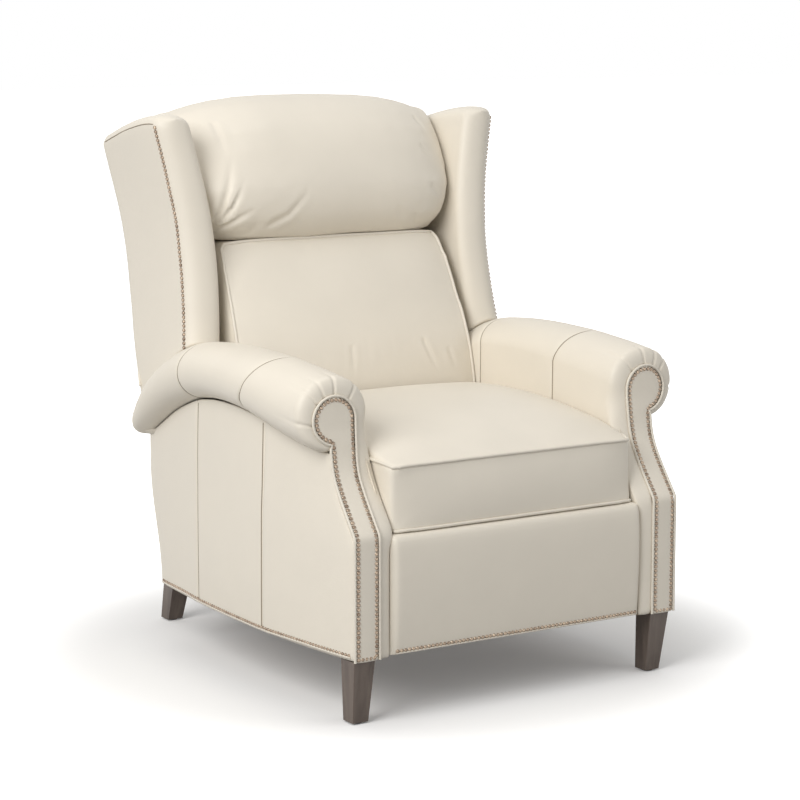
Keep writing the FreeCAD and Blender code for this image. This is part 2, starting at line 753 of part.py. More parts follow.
def zigzag(start, along, across, length, bends):
    """Flat spring: crossings joined by half-turn bends, with a straight lead at each end."""
    radius = (length - 2 * spring_end) / (2 * (bends + 1))
    slant = math.sqrt(0.5)
    half_run = V(across).multiply(spring_run / 2)

    def quarter(point, first, then):
        """Quarter turn from one direction to another."""
        corner = point + V(first).multiply(radius) + V(then).multiply(radius)
        middle = (point + V(first).multiply(radius * slant)
                  + V(then).multiply(radius * (1 - slant)))
        return arc(point, middle, corner), corner

    point = start + V(along).multiply(spring_end)
    edges = [line(start, point)]
    side = 1
    edge, point = quarter(point, along, V(across).multiply(side))
    edges.append(edge)
    for i in range(bends):
        step = V(half_run).multiply(side * (1 if i == 0 else 2))
        edges.append(line(point, point + step))
        point = point + step
        edge, point = quarter(point, V(across).multiply(side), along)
        edges.append(edge)
        side = -side
        edge, point = quarter(point, along, V(across).multiply(side))
        edges.append(edge)
    step = V(half_run).multiply(side)
    edges.append(line(point, point + step))
    edge, point = quarter(point + step, V(across).multiply(side), along)
    edges.append(edge)
    edges.append(line(point, point + V(along).multiply(spring_end)))
    profile = Part.Wire([Part.Circle(start, along, spring_wire_radius).toShape()])
    return Part.Wire(edges).makePipeShell([profile], True, False)


def seat_springs():
    """Zigzag springs from the front board to the rear board."""
    z = seat_frame_top() - seat_board_height / 2
    y0 = seat_frame_front + seat_board_thickness
    y1 = seat_frame_rear - seat_board_thickness
    span = 2 * (seat_frame_half_width - seat_board_thickness)
    spots = [-span / 2 + span * (i + 0.5) / spring_count for i in range(spring_count)]
    return [zigzag(V(x, y0, z), V(0, 1, 0), V(1, 0, 0), y1 - y0, spring_bends) for x in spots]


def seat_deck():
    top = seat_bottom_height - soft_gap
    return box(-seat_frame_half_width, seat_frame_half_width, seat_frame_front,
               seat_frame_rear, top - seat_deck_thickness, top)


def seat_cushion():
    """Crowned box cushion, drawn in at its sides."""
    half, rise = seat_width / 2, seat_crown_height - seat_welt_height
    length = seat_rear - seat_front
    rows = [(0.0, 5.0, 0.0, 0.02), (0.04, 1.0, 0.04, 0.20), (0.15, 0.0, 0.16, 0.56),
            (0.35, 0.0, 0.30, 0.88), (0.62, 0.0, 0.42, 1.0), (0.85, 0.0, 0.46, 0.86),
            (1.0, 3.0, 0.42, 0.62)]
    wires = []
    for share, draw, side_rise, crown in rows:
        y = seat_front + length * share
        side_top = seat_welt_height + rise * side_rise
        edge = half - draw
        waist = V(edge - 2.5, y, (seat_bottom_height + side_top) / 2)
        a, b = V(-edge, y, seat_bottom_height), V(edge, y, seat_bottom_height)
        c, d = V(edge, y, side_top), V(-edge, y, side_top)
        wires.append(Part.Wire([line(a, b), arc(b, waist, c),
                                arc(c, V(0, y, seat_welt_height + rise * crown), d),
                                arc(d, V(-waist.x, y, waist.z), a)]))
    return Part.makeLoft(wires, True, True)


# Back

def back_post():
    x1 = back_lower_half_width
    return back_bar(back_post_foot, back_post_top, back_post_front,
                    back_post_front + back_post_depth, x1 - back_post_width, x1)


def back_rail(up, thickness):
    """Rail between the posts."""
    x1 = back_lower_half_width - back_post_width
    return back_bar(up, up + back_rail_width, back_post_front, back_post_front + thickness,
                    -x1, x1)


def back_bracket():
    """Steel plate on a post's foot that turns on the plate's pivot pin."""
    x0 = back_lower_half_width
    x1 = x0 + bracket_plate_thickness
    plate = back_bar(-22.0, 20.0, -26.0, back_post_front + back_post_depth - 2.0, x0, x1)
    return plate.cut(rod(x0, x1, back_pivot_y, back_pivot_z, back_pivot_radius + bolt_clearance))


def back_springs():
    """Zigzag springs between the lumbar rail and the top rail."""
    x1 = back_lower_half_width - back_post_width
    rake = math.radians(back_rake)
    along = V(0, math.sin(rake), math.cos(rake))
    low = lumbar_rail_up + back_rail_width
    y, z = back_point(low, back_post_front + 8.0)
    length = back_post_top - back_rail_width - low
    spots = [-x1 + 2 * x1 * (i + 0.5) / back_spring_count for i in range(back_spring_count)]
    return [zigzag(V(x, y, z), along, V(1, 0, 0), length, back_spring_bends) for x in spots]


def wing_x(base, z):
    """Distance from the middle plane of a wing's sheet that stands at base by the arm."""
    return base + circle_depth(wing_lean, z)


def wing_sheet(base0, base1):
    """Curved slab between two sheets of a wing, longer and deeper than the wing itself."""
    low, high = lower_back_height, back_height + 10.0
    middle = (low + high) / 2

    def at(base, z):
        return V(wing_x(base, z), sweep_depth, z)
    wire = Part.Wire([arc(at(base0, low), at(base0, middle), at(base0, high)),
                      line(at(base0, high), at(base1, high)),
                      arc(at(base1, high), at(base1, middle), at(base1, low)),
                      line(at(base1, low), at(base0, low))])
    return Part.Face(wire).extrude(V(0, back_height, 0))


def wing_outline(front_inset, rear_inset, front_drop, rear_drop):
    """Side outline of one layer of a wing: raked edges, crowned top, sill over the roll."""
    def sill(y):
        return roll_top(y) + wing_gap_above_arm
    front_foot = wing_front_edge[0][1] + front_inset
    rear_foot = circle_depth(wing_rear_edge, sill(lower_back_rear)) - rear_inset
    front_heights = (sill(front_foot), wing_front_edge[1][0], wing_top_front - front_drop)
    rear_heights = (wing_top_rear - rear_drop, wing_rear_edge[1][0], sill(rear_foot))
    front = [V(0, circle_depth(wing_front_edge, z) + front_inset, z) for z in front_heights]
    rear = [V(0, circle_depth(wing_rear_edge, z) - rear_inset, z) for z in rear_heights]
    crown = V(0, (front[2].y + rear[0].y) / 2, (front[2].z + rear[0].z) / 2 + wing_top_crown)
    depths = [row[0] for row in reversed(roll_stations) if front[0].y + 5 < row[0] < rear[2].y - 5]
    sills = [rear[2]] + [V(0, y, sill(y)) for y in depths] + [front[0]]
    return Part.Wire([arc(*front), arc(front[2], crown, rear[0]), arc(*rear)] + chain(sills))


def wing_layer(base0, base1, front_inset, rear_inset, front_drop, rear_drop):
    wire = wing_outline(front_inset, rear_inset, front_drop, rear_drop)
    body = Part.Face(wire).extrude(V(wing_outer_x + 100.0, 0, 0))
    return body.common(wing_sheet(base0, base1))


def wing_rear_inset():
    return outside_back_thickness + soft_gap


def wing_rail(up, extra):
    """Rail from a post to the wing's board, ending in the board's curved sheet."""
    bar = back_bar(up - extra, up + back_rail_width + extra, back_post_front - extra,
                   back_post_front + back_post_depth + extra, back_lower_half_width,
                   wing_board_x + 60.0)
    return bar.common(wing_sheet(back_lower_half_width - 60.0, wing_board_x))


def wing_board():
    return wing_layer(wing_board_x, wing_board_x + wing_board_thickness, wing_border,
                      wing_rear_inset(), 30.0, 10.0)


def wing_inner_pad():
    """Inside of the wing and the padded border round its front edge and over its top."""
    inside = wing_layer(wing_inner_x, wing_board_x - soft_gap, 0.0, wing_rear_inset(), 0.0, 0.0)
    whole = wing_layer(wing_board_x - soft_gap, wing_outer_x - 2.0, 0.0, wing_rear_inset(),
                       0.0, 0.0)
    hollow = wing_layer(wing_board_x - 1.0, wing_outer_x + 1.0, wing_border - soft_gap,
                        wing_rear_inset() - 20.0, wing_seam_drop - soft_gap, 3.0)
    sill_cut = wing_layer(wing_board_x - 1.0, wing_outer_x + 1.0, wing_border - soft_gap,
                          wing_rear_inset() - 20.0, 250.0, 250.0)
    sill_cut.translate(V(0, 0, -20.0))
    pad = inside.fuse(whole.cut(hollow).cut(sill_cut)).removeSplitter()
    for up in wing_rail_heights:
        pad = pad.cut(wing_rail(up, soft_gap))
    return pad


def wing_outer_panel():
    return wing_layer(wing_board_x + wing_board_thickness + soft_gap, wing_outer_x, wing_border,
                      wing_rear_inset(), wing_seam_drop, 3.5)


def outside_back_panel():
    """Curved panel across the rear: wide between the wings' edges, narrow between the arms."""
    half = wing_x(wing_outer_x, wing_top_rear) + 20.0
    low, mid, high = [V(-half, y, z) for z, y in wing_rear_edge]
    inward = V(0, -outside_back_thickness, 0)
    foot = V(-half, lower_back_rear - back_foot_tuck, outside_back_bottom)
    edges = [arc(low, mid, high), line(high, high + inward),
             arc(high + inward, mid + inward, low + inward)]
    edges += chain([low + inward, foot + inward, foot, low])
    slab = Part.Face(Part.Wire(edges)).extrude(V(2 * half, 0, 0))
    waist = roll_top(lower_back_rear - 30.0) + wing_gap_above_arm
    beside = wing_sheet(wing_outer_x, wing_outer_x + 100.0)
    beside = beside.fuse(box(back_lower_half_width, half + 10.0, lower_back_rear - 120.0,
                             lower_back_rear + 60.0, 0.0, waist))
    return slab.cut(beside).cut(mirror(beside))


def back_side_panel():
    """Panel that closes the back's side between post and outside back, below the wings."""
    x1 = back_lower_half_width
    low, high = outside_back_bottom + 12.0, lower_back_height + 40.0
    out = back_post_front + back_post_depth + soft_gap
    rear_low = lower_back_rear - back_foot_tuck - wing_rear_inset()
    rear_mid = lower_back_rear - wing_rear_inset()
    rear_high = circle_depth(wing_rear_edge, high) - wing_rear_inset()
    points = [(back_plane(out, low), low), (back_plane(out, high), high), (rear_high, high),
              (rear_mid, lower_back_height), (rear_low, low)]
    return side_plate(points, x1 - side_panel_thickness, x1)


def back_cushion():
    """Lower back cushion: crowned front, narrower at the top, rear against the frame."""
    out = back_post_front - soft_gap
    crown = back_cushion_crown
    wires = []
    for z, y, draw, share in back_cushion_rows:
        half, bulge = back_lower_half_width - draw, crown * share
        rear = back_plane(out, z)
        a, b = V(-half, rear, z), V(-half, y, z)
        c, d = V(half, y, z), V(half, rear, z)
        wires.append(Part.Wire([line(a, b), arc(b, V(0, y - bulge, z), c)] + chain([c, d, a])))
    return Part.makeLoft(wires, True, True)


def head_pillow():
    """Bolster with an arched top that wraps over the top rail and ends at the wings."""
    out = back_post_front - soft_gap
    rear_floor = wing_top_rear + soft_gap
    rows = [(-x, drop, draw) for x, drop, draw in reversed(pillow_ends[1:])] + pillow_ends
    rear_y = back_top_depth - 2.0
    wires = []
    for x, drop, draw in rows:
        def at(point, share, fall):
            return V(x, point[1] + draw * share, point[0] - drop * fall)
        low_rear = V(x, back_plane(out, pillow_seam[0]), pillow_seam[0])
        low_front, belly = at(pillow_seam, 0.4, 0.0), at(pillow_belly, 1.0, 0.0)
        chest, brow = at(pillow_chest, 0.8, 0.0), at(pillow_brow, 0.5, 1.0)
        ridge, nape = at(pillow_ridge, 0.0, 1.0), at(pillow_nape, 0.0, 0.6)
        rail_rear = V(x, rear_y, rear_floor)
        rail_front = V(x, back_plane(out, rear_floor), rear_floor)
        wires.append(Part.Wire([line(low_rear, low_front), arc(low_front, belly, chest),
                                arc(chest, brow, ridge), arc(ridge, nape, rail_rear),
                                line(rail_rear, rail_front), line(rail_front, low_rear)]))
    beside = wing_sheet(wing_inner_x - soft_gap, wing_outer_x + 100.0)
    return Part.makeLoft(wires, True, True).cut(beside).cut(mirror(beside))


def build():
    parts = {}
    upper, lower, rear = arm_rails()
    sided = {
        "arm_inner_pad": arm_inner_pad(), "arm_side_pad": arm_side_pad(),
        "arm_roll": arm_roll(), "arm_front_panel": arm_front_panel(),
        "front_leg": front_leg(), "rear_leg": rear_leg(), "rear_link": rear_link(),
        "front_link": front_link(), "wing_inner_pad": wing_inner_pad(),
        "wing_outer_panel": wing_outer_panel(),
    }
    pairs = {
        "arm_side_boards": arm_side_board(), "arm_front_boards": arm_front_board(),
        "arm_top_rails": upper, "arm_bottom_rails": lower, "arm_rear_posts": rear,
        "arm_corner_posts": arm_corner_post(), "mechanism_plates": mechanism_plate(),
        "seat_guides": seat_guide(), "footrest_brackets": footrest_bracket(),
        "back_posts": back_post(), "back_brackets": back_bracket(), "wing_boards": wing_board(),
        "back_side_panels": back_side_panel(), "base_rear_side_rails": rear_side_rail(),
        "seat_runners": seat_runner(), "seat_side_boards": seat_side_board(),
    }
    for name, shape in sided.items():
        parts[name + "_right"] = [shape]
        parts[name + "_left"] = [mirror(shape)]
    for name, shape in pairs.items():
        parts[name] = [shape, mirror(shape)]
    rails = [wing_rail(up, 0.0) for up in wing_rail_heights]
    parts["wing_rails"] = rails + [mirror(rail) for rail in rails]
    parts["seat_cross_boards"] = seat_cross_boards()
    parts["seat_springs"] = seat_springs()
    parts["seat_deck"] = [seat_deck()]
    parts["seat_cushion"] = [seat_cushion()]
    parts["base_cross_rails"] = [cross_rail(cross_rail_front_y), cross_rail(cross_rail_rear_y)]
    parts["base_rear_rail"] = [rear_rail()]
    parts["base_rear_cover"] = [rear_box_cover()]
    parts["leg_glides"] = leg_glides()
    parts["leg_bolts"] = leg_bolts()
    parts["mechanism_bolts"] = mount_bolts()
    parts["plate_pivot_pins"] = plate_pivots()
    parts["link_pivot_pins"] = link_pivots()
    parts["footrest_pivot_pins"] = board_pivots()
    parts["drive_tube"] = [drive_tube()]
    parts["footrest_board"] = [footrest_board()]
    parts["footrest_pad"] = [footrest_pad()]
    parts["back_top_rail"] = [back_rail(back_post_top - back_rail_width, back_post_depth)]
    parts["back_lumbar_rail"] = [back_rail(lumbar_rail_up, back_rail_thickness)]
    parts["back_bottom_rail"] = [back_rail(bottom_rail_up, back_rail_thickness)]
    parts["back_springs"] = back_springs()
    parts["back_cushion"] = [back_cushion()]
    parts["head_pillow"] = [head_pillow()]
    parts["outside_back"] = [outside_back_panel()]
    return parts


def main():
    os.makedirs("parts", exist_ok=True)
    parts = build()
    whole = Part.makeCompound([solid for solids in parts.values() for solid in solids])
    bounds = whole.optimalBoundingBox(False, False)
    shift = V(0, -(bounds.YMin + bounds.YMax) / 2, 0)
    print("shift", round(shift.y, 3), "size", round(bounds.XLength, 1), round(bounds.YLength, 1),
          round(bounds.ZLength, 1), "nodes", len(parts))
    for name, solids in parts.items():
        shape = solids[0] if len(solids) == 1 else Part.makeCompound(solids)
        shape.translate(shift)
        shape.exportStep("parts/" + name + ".step")


main()
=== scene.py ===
import bisect
import math

import bmesh
import bpy
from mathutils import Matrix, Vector, noise
from mathutils.bvhtree import BVHTree


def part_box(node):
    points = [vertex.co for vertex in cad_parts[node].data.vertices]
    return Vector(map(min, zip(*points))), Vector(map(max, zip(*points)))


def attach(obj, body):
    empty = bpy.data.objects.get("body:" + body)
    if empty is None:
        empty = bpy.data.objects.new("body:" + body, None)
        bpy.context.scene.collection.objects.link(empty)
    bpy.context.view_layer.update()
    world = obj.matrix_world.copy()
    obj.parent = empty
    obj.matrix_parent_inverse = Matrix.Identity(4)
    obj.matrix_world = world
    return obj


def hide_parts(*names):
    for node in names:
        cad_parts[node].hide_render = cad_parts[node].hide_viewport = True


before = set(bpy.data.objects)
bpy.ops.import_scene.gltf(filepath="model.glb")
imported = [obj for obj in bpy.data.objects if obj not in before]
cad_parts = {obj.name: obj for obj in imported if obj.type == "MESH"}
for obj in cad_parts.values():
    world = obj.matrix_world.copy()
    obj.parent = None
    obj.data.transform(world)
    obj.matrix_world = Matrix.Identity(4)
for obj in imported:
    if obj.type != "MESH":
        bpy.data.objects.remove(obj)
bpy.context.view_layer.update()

# The photograph's view: a long lens at standing height, to the chair's left of its front.
# Depths below are measured from the front face of the arm posts.
scene = bpy.context.scene
scene.view_settings.view_transform = "Standard"
front_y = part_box("arm_front_panel_right")[0].y
camera_place = (-2.7214, front_y - 3.7692, 1.3181)
camera_down, camera_turn = 9.04, -33.0


def placed(name, data):
    """New object of the scene that shows the given mesh, lamp or lens."""
    thing = bpy.data.objects.new(name, data)
    scene.collection.objects.link(thing)
    return thing


photo_lens = bpy.data.cameras.new("photo_lens")
photo_lens.sensor_width = 36.0
photo_lens.lens = 113.14
photo_camera = placed("photo_camera", photo_lens)
photo_camera.location = camera_place
photo_camera.rotation_euler = (math.radians(90.0 - camera_down), 0.0, math.radians(camera_turn))
scene.camera = photo_camera

# The studio: a white floor that keeps the chair's soft shadow, with a glow to the eye that is
# dimmed near the chair as painted shadow round it, a white room behind it, one large soft lamp
# from the left and above, and weaker ones from the right and from overhead.
floor_reach = 30.0
floor_corners = [(x * floor_reach, y * floor_reach, 0) for x, y in ((-1, -1), (1, -1), (1, 1), (-1, 1))]
floor_mesh = bpy.data.meshes.new("studio_floor")
floor_mesh.from_pydata(floor_corners, [], [(0, 1, 2, 3)])
studio_floor = placed("studio_floor", floor_mesh)


def plug(tree, made, inputs):
    """Gives each named input of a node its value, or a link where the value is a socket."""
    for name, value in inputs.items():
        if isinstance(value, bpy.types.NodeSocket):
            tree.links.new(value, made.inputs[name])
        else:
            made.inputs[name].default_value = value


def node(tree, kind, inputs=None, **settings):
    """New node in a tree, with its settings and inputs. A kind without Node is a shader's."""
    made = tree.nodes.new(kind if "Node" in kind else "ShaderNode" + kind)
    for name, value in settings.items():
        setattr(made, name, value)
    plug(tree, made, inputs or {})
    return made


def background_rays(tree):
    """Output that is 1 where the eye meets the background straight on, in metal or in glass."""
    path = node(tree, "LightPath").outputs
    straight = node(tree, "Math", {0: path["Is Camera Ray"], 1: path["Is Transmission Ray"]},
                    operation="MAXIMUM")
    every = node(tree, "Math", {0: straight.outputs[0], 1: path["Is Glossy Ray"]},
                 operation="MAXIMUM")
    return every.outputs[0]


def seen_or_felt(tree, felt, seen, output):
    """Sends one shader to the eye and the other to the light that bounces on."""
    either = node(tree, "MixShader", {"Fac": background_rays(tree), 1: felt, 2: seen})
    node(tree, output, {"Surface": either.outputs[0]})


floor_paint = bpy.data.materials.new("floor_paint")
floor_paint.use_nodes = True
tree = floor_paint.node_tree
tree.nodes.clear()
# Painted shadow: the floor's glow seen by the eye is weak near the chair and full further out, so the floor
# round the chair is darker than its lamps alone make it.
reach = node(tree, "VectorMath", {0: node(tree, "TexCoord").outputs["Object"]},
             operation="LENGTH")
fade = node(tree, "MapRange", {"Value": reach.outputs["Value"], "From Min": 0.56,
                               "From Max": 1.12, "To Min": 0.10, "To Max": 1.0},
            interpolation_type="SMOOTHSTEP")
lit = node(tree, "BsdfDiffuse", {"Color": (0.92, 0.92, 0.92, 1.0)})
glow_with_painted_shadow = node(tree, "Emission", {"Strength": fade.outputs["Result"]})
seen_floor = node(tree, "AddShader", {0: lit.outputs[0], 1: glow_with_painted_shadow.outputs[0]})
bounce = node(tree, "BsdfDiffuse", {"Color": (0.36, 0.36, 0.36, 1.0)})
seen_or_felt(tree, bounce.outputs[0], seen_floor.outputs[0], "OutputMaterial")
floor_mesh.materials.append(floor_paint)

room = bpy.data.worlds.new("studio_room")
room.use_nodes = True
tree = room.node_tree
tree.nodes.clear()
white = node(tree, "Background", {"Color": (1.0, 1.0, 1.0, 1.0)})
glow = node(tree, "Background", {"Color": (1.0, 0.995, 0.985, 1.0), "Strength": 0.46})
seen_or_felt(tree, glow.outputs[0], white.outputs[0], "OutputWorld")
scene.world = room


def soft_lamp(name, place, aim, size, watts, colour):
    """Square lamp at a place, turned to a point."""
    lamp = bpy.data.lights.new(name, "AREA")
    lamp.size, lamp.energy, lamp.color = size, watts, colour
    holder = placed(name, lamp)
    holder.location = place
    holder.rotation_euler = (Vector(aim) - Vector(place)).to_track_quat("-Z", "Y").to_euler()


soft_lamp("lamp_left", (-3.6, -1.6, 2.9), (0.0, 0.0, 0.5), 2.6, 140.0, (1.0, 0.985, 0.965))
soft_lamp("lamp_right", (2.6, -3.4, 2.2), (0.0, 0.0, 0.6), 2.4, 21.0, (1.0, 0.99, 0.975))
soft_lamp("lamp_top", (0.1, 0.2, 3.6), (0.0, 0.0, 0.4), 2.4, 17.0, (1.0, 0.99, 0.975))

# Arm covers: one hide over the foam of each arm, from the seat up over the roll and down to
# the side panel. In front it is gathered in small pleats behind the nailed scroll, and two
# seams cross the roll and run on down the inside of the arm.
arm_inner_x = 0.2805
band_x = 0.2905
roll_x, roll_half = 0.358, 0.076
hem_z, seat_foot_z = 0.1245, 0.3475
scroll_x, scroll_z, scroll_edge = 0.360, 0.561, 0.0445
roll_top = [(0.086, 0.638), (0.16, 0.648), (0.27, 0.656), (0.41, 0.661), (0.51, 0.657),
            (0.60, 0.643), (0.65, 0.622), (0.714, 0.586), (0.786, 0.530), (0.812, 0.482)]
roll_under = [(0.086, 0.500), (0.19, 0.513), (0.29, 0.535), (0.38, 0.548), (0.50, 0.550),
              (0.56, 0.540), (0.66, 0.507), (0.75, 0.460), (0.812, 0.432)]
roll_narrowing = [(0.086, 1.0), (0.60, 1.0), (0.67, 0.96), (0.74, 0.88), (0.79, 0.76),
                  (0.812, 0.60)]
sweep_line = [(0.356, 0.0), (0.392, 0.027), (0.428, 0.053), (0.457, 0.070), (0.487, 0.079),
              (0.519, 0.083), (0.552, 0.086), (0.66, 0.086)]
pleat_angles = [-10.0, 41.0, 64.0, 91.0, 131.0]
seam_depths = [[(-90.0, 0.326), (-30.0, 0.320), (0.0, 0.303), (45.0, 0.279), (90.0, 0.266),
                (135.0, 0.275), (180.0, 0.289)],
               [(-90.0, 0.554), (0.0, 0.556), (90.0, 0.562), (180.0, 0.545)]]
inner_count, over_count, under_count = 26, 72, 26
cover_start, roll_end = 0.11, 0.812
pleat_depth, pleat_swell, pleat_width = 0.0046, 0.0016, 2.1
hidden_x, hidden_outer_x = 0.2915, 0.350


def along(table, t):
    """Smooth value at t of a table of (position, value) pairs."""
    xs = [row[0] for row in table]
    ys = [row[1] for row in table]
    t = min(max(t, xs[0]), xs[-1])
    i = max(0, min(len(xs) - 2, bisect.bisect_right(xs, t) - 1))

    def slope(k):
        a, b = max(k - 1, 0), min(k + 1, len(xs) - 1)
        return (ys[b] - ys[a]) / (xs[b] - xs[a])
    h = xs[i + 1] - xs[i]
    u = (t - xs[i]) / h
    return ((2 * u ** 3 - 3 * u ** 2 + 1) * ys[i] + (u ** 3 - 2 * u ** 2 + u) * h * slope(i)
            + (3 * u ** 2 - 2 * u ** 3) * ys[i + 1] + (u ** 3 - u ** 2) * h * slope(i + 1))


def mix(a, b, share):
    return a + (b - a) * share


def spread(first, last, steps):
    """Values from the first to the last in equal steps."""
    return [mix(first, last, i / steps) for i in range(steps + 1)]


def step(low, high, t):
    """Smooth rise from 0 at low to 1 at high."""
    t = min(max((t - low) / (high - low), 0.0), 1.0)
    return t * t * (3 - 2 * t)


def dip(distance, width):
    """Bell of height 1 and the given half width."""
    return math.exp(-(distance / width) ** 2)


def sweep(z):
    """Depth of the arm's front edge at a height."""
    return 0.0 if z <= sweep_line[0][0] else along(sweep_line, z)


def skin(name, rows, ends=2):
    """Mesh through rings of (x, depth, z) points, with its last or both ends shut."""
    n = len(rows[0])
    verts = [(x, front_y + y, z) for row in rows for x, y, z in row]
    faces = []
    for r in range(len(rows) - 1):
        for c in range(n):
            a, b = r * n + c, r * n + (c + 1) % n
            faces.append((a, b, b + n, a + n))
    faces.append(tuple(range(len(verts) - n, len(verts))))
    if ends == 2:
        faces.append(tuple(reversed(range(n))))
    mesh = bpy.data.meshes.new(name)
    mesh.from_pydata(verts, [], faces)
    work = bmesh.new()
    work.from_mesh(mesh)
    bmesh.ops.remove_doubles(work, verts=work.verts, dist=1e-5)
    bmesh.ops.recalc_face_normals(work, faces=work.faces)
    work.to_mesh(mesh)
    work.free()
    return placed(name, mesh)


def other_side(piece, name):
    """The same piece on the chair's other side."""
    mesh = piece.data.copy()
    for vertex in mesh.vertices:
        vertex.co.x = -vertex.co.x
    mesh.flip_normals()
    return placed(name, mesh)


def dress(piece, body, material, nodes=(), levels=1):
    """Finish of a piece: its material, smooth faces, the body it rides on and its nodes."""
    piece.data.materials.clear()
    piece.data.materials.append(material)
    piece.data.polygons.foreach_set("use_smooth", [True] * len(piece.data.polygons))
    if levels:
        rounding = piece.modifiers.new("rounding", "SUBSURF")
        rounding.levels = rounding.render_levels = levels
    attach(piece, body)
    if nodes:
        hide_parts(*nodes)


def dress_pair(name, rows, body, hide, nodes, ends=2):
    """Padded piece of the chair's right through its rings, which it returns, and its twin."""
    piece = skin(name + "_right", rows, ends)
    twin = other_side(piece, name + "_left")
    for half, side in ((piece, "_right"), (twin, "_left")):
        dress(half, body, hide, [n + side for n in nodes])
    return piece


def seam_places(bounds, plain):
    """Places from the first bound to the last, close together beside each one."""
    beside = (0.0, 0.0022, 0.005, 0.011)
    places = []
    for a, b in zip(bounds, bounds[1:]):
        places += [a + d for d in beside]
        places += [mix(a + beside[-1], b - beside[-1], (i + 1) / (plain + 1)) for i in range(plain)]
        places += [b - d for d in beside[:0:-1]]
    return places + [bounds[-1]]


def fresh_paint(name):
    """New material with its tree, its Principled shader and the piece's own coordinates."""
    paint = bpy.data.materials.new(name)
    paint.use_nodes = True
    tree = paint.node_tree
    return paint, tree, tree.nodes["Principled BSDF"], node(tree, "TexCoord").outputs["Object"]


def ramp(tree, share, dark, light, start=0.0, end=1.0):
    """Colour that turns from dark to light as a share rises from start to end."""
    turn = node(tree, "ValToRGB", {"Fac": share})
    for stop, place, colour in zip(turn.color_ramp.elements, (start, end), (dark, light)):
        stop.position, stop.color = place, tuple(colour) + (1.0,)
    return turn.outputs["Color"]


def between(tree, share, low, high):
    """Value that goes from low to high with a share."""
    made = node(tree, "MapRange", {"Value": share, "To Min": low, "To Max": high})
    return made.outputs["Result"]


cream = (0.765, 0.712, 0.618)


def leather(name, colour=cream, roughness=0.46, crease=0.25):
    """Smooth upholstery hide: faint mottling, fine pores and shallow long undulation."""
    mottle = 0.016
    paint, tree, shader, place = fresh_paint(name)
    cloud = node(tree, "TexNoise", {"Vector": place, "Scale": 9.0, "Detail": 4.0}).outputs["Fac"]
    tone = ramp(tree, cloud, [c * (1 - mottle) for c in colour],
                [min(1.0, c * (1 + mottle)) for c in colour], 0.3, 0.7)
    drift = node(tree, "TexNoise", {"Vector": place, "Scale": 26.0, "Detail": 3.0})
    pores = node(tree, "TexVoronoi", {"Vector": place, "Scale": 620.0})
    broad = node(tree, "Bump", {"Strength": crease, "Distance": 0.003, "Height": drift.outputs["Fac"]})
    fine = node(tree, "Bump", {"Strength": 0.22, "Distance": 0.0004, "Height": pores.outputs["Distance"],
                               "Normal": broad.outputs["Normal"]})
    plug(tree, shader, {"Base Color": tone, "IOR": 1.42, "Normal": fine.outputs["Normal"],
                        "Roughness": between(tree, cloud, roughness - 0.05, roughness + 0.07)})
    return paint


def roll_angle(k):
    """Angle round the roll of a point of the arm's outline: 180 inside, 90 on the crest."""
    if k < inner_count:
        return 180.0
    if k < inner_count + over_count:
        return 180.0 * (1 - (k - inner_count) / over_count)
    return -88.0 * (k - inner_count - over_count) / (under_count - 1)


def arm_point(k, y):
    """Point of an arm's outline at a depth: from the hem, over the roll, to under it."""
    top, under = along(roll_top, y), along(roll_under, y)
    half = roll_half * along(roll_narrowing, y)
    middle = mix(under, top, 0.5)
    if k < inner_count:
        z = mix(hem_z, middle, k / inner_count)
        inside = mix(band_x, arm_inner_x, step(seat_foot_z - 0.012, seat_foot_z + 0.004, z))
        return mix(inside, roll_x - half, step(0.42, middle, z)), z
    turn = math.radians(roll_angle(k))
    if k < inner_count + over_count:
        return roll_x + half * math.cos(turn), middle + (top - middle) * math.sin(turn)
    tuck = roll_x + 0.011 * half / roll_half
    return tuck + (roll_x + half - tuck) * math.cos(turn), middle + (middle - under) * math.sin(turn)


def hidden_return(y):
    """Way back inside the arm, from under the roll down to the hem."""
    under = along(roll_under, y) + 0.006
    return [(hidden_outer_x, under), (0.3145, under), (hidden_x, under), (hidden_x, 0.36),
            (hidden_x, hem_z)]


def scroll_outline(k):
    """Point of the nailed panel's edge that the cover is tucked behind, matched to arm_point."""
    if k < inner_count:
        z = mix(hem_z, scroll_z, k / inner_count)
        return mix(0.3175, scroll_x - scroll_edge, step(0.45, scroll_z, z)), z
    turn = math.radians(max(roll_angle(k), -80.0))
    return scroll_x + scroll_edge * math.cos(turn), scroll_z + scroll_edge * math.sin(turn)


def pleat(k, share):
    """How far the gathers draw the cover in at a share of the way to the scroll."""
    angle = roll_angle(k)
    if k < inner_count:
        return 0.0
    fold = sum(dip(angle - at, pleat_width) for at in pleat_angles)
    swell = pleat_swell * (1 - min(fold, 1.0)) * math.sin(math.pi * share) * step(150.0, 120.0, angle)
    return pleat_depth * fold * (0.35 + 0.65 * share) - swell


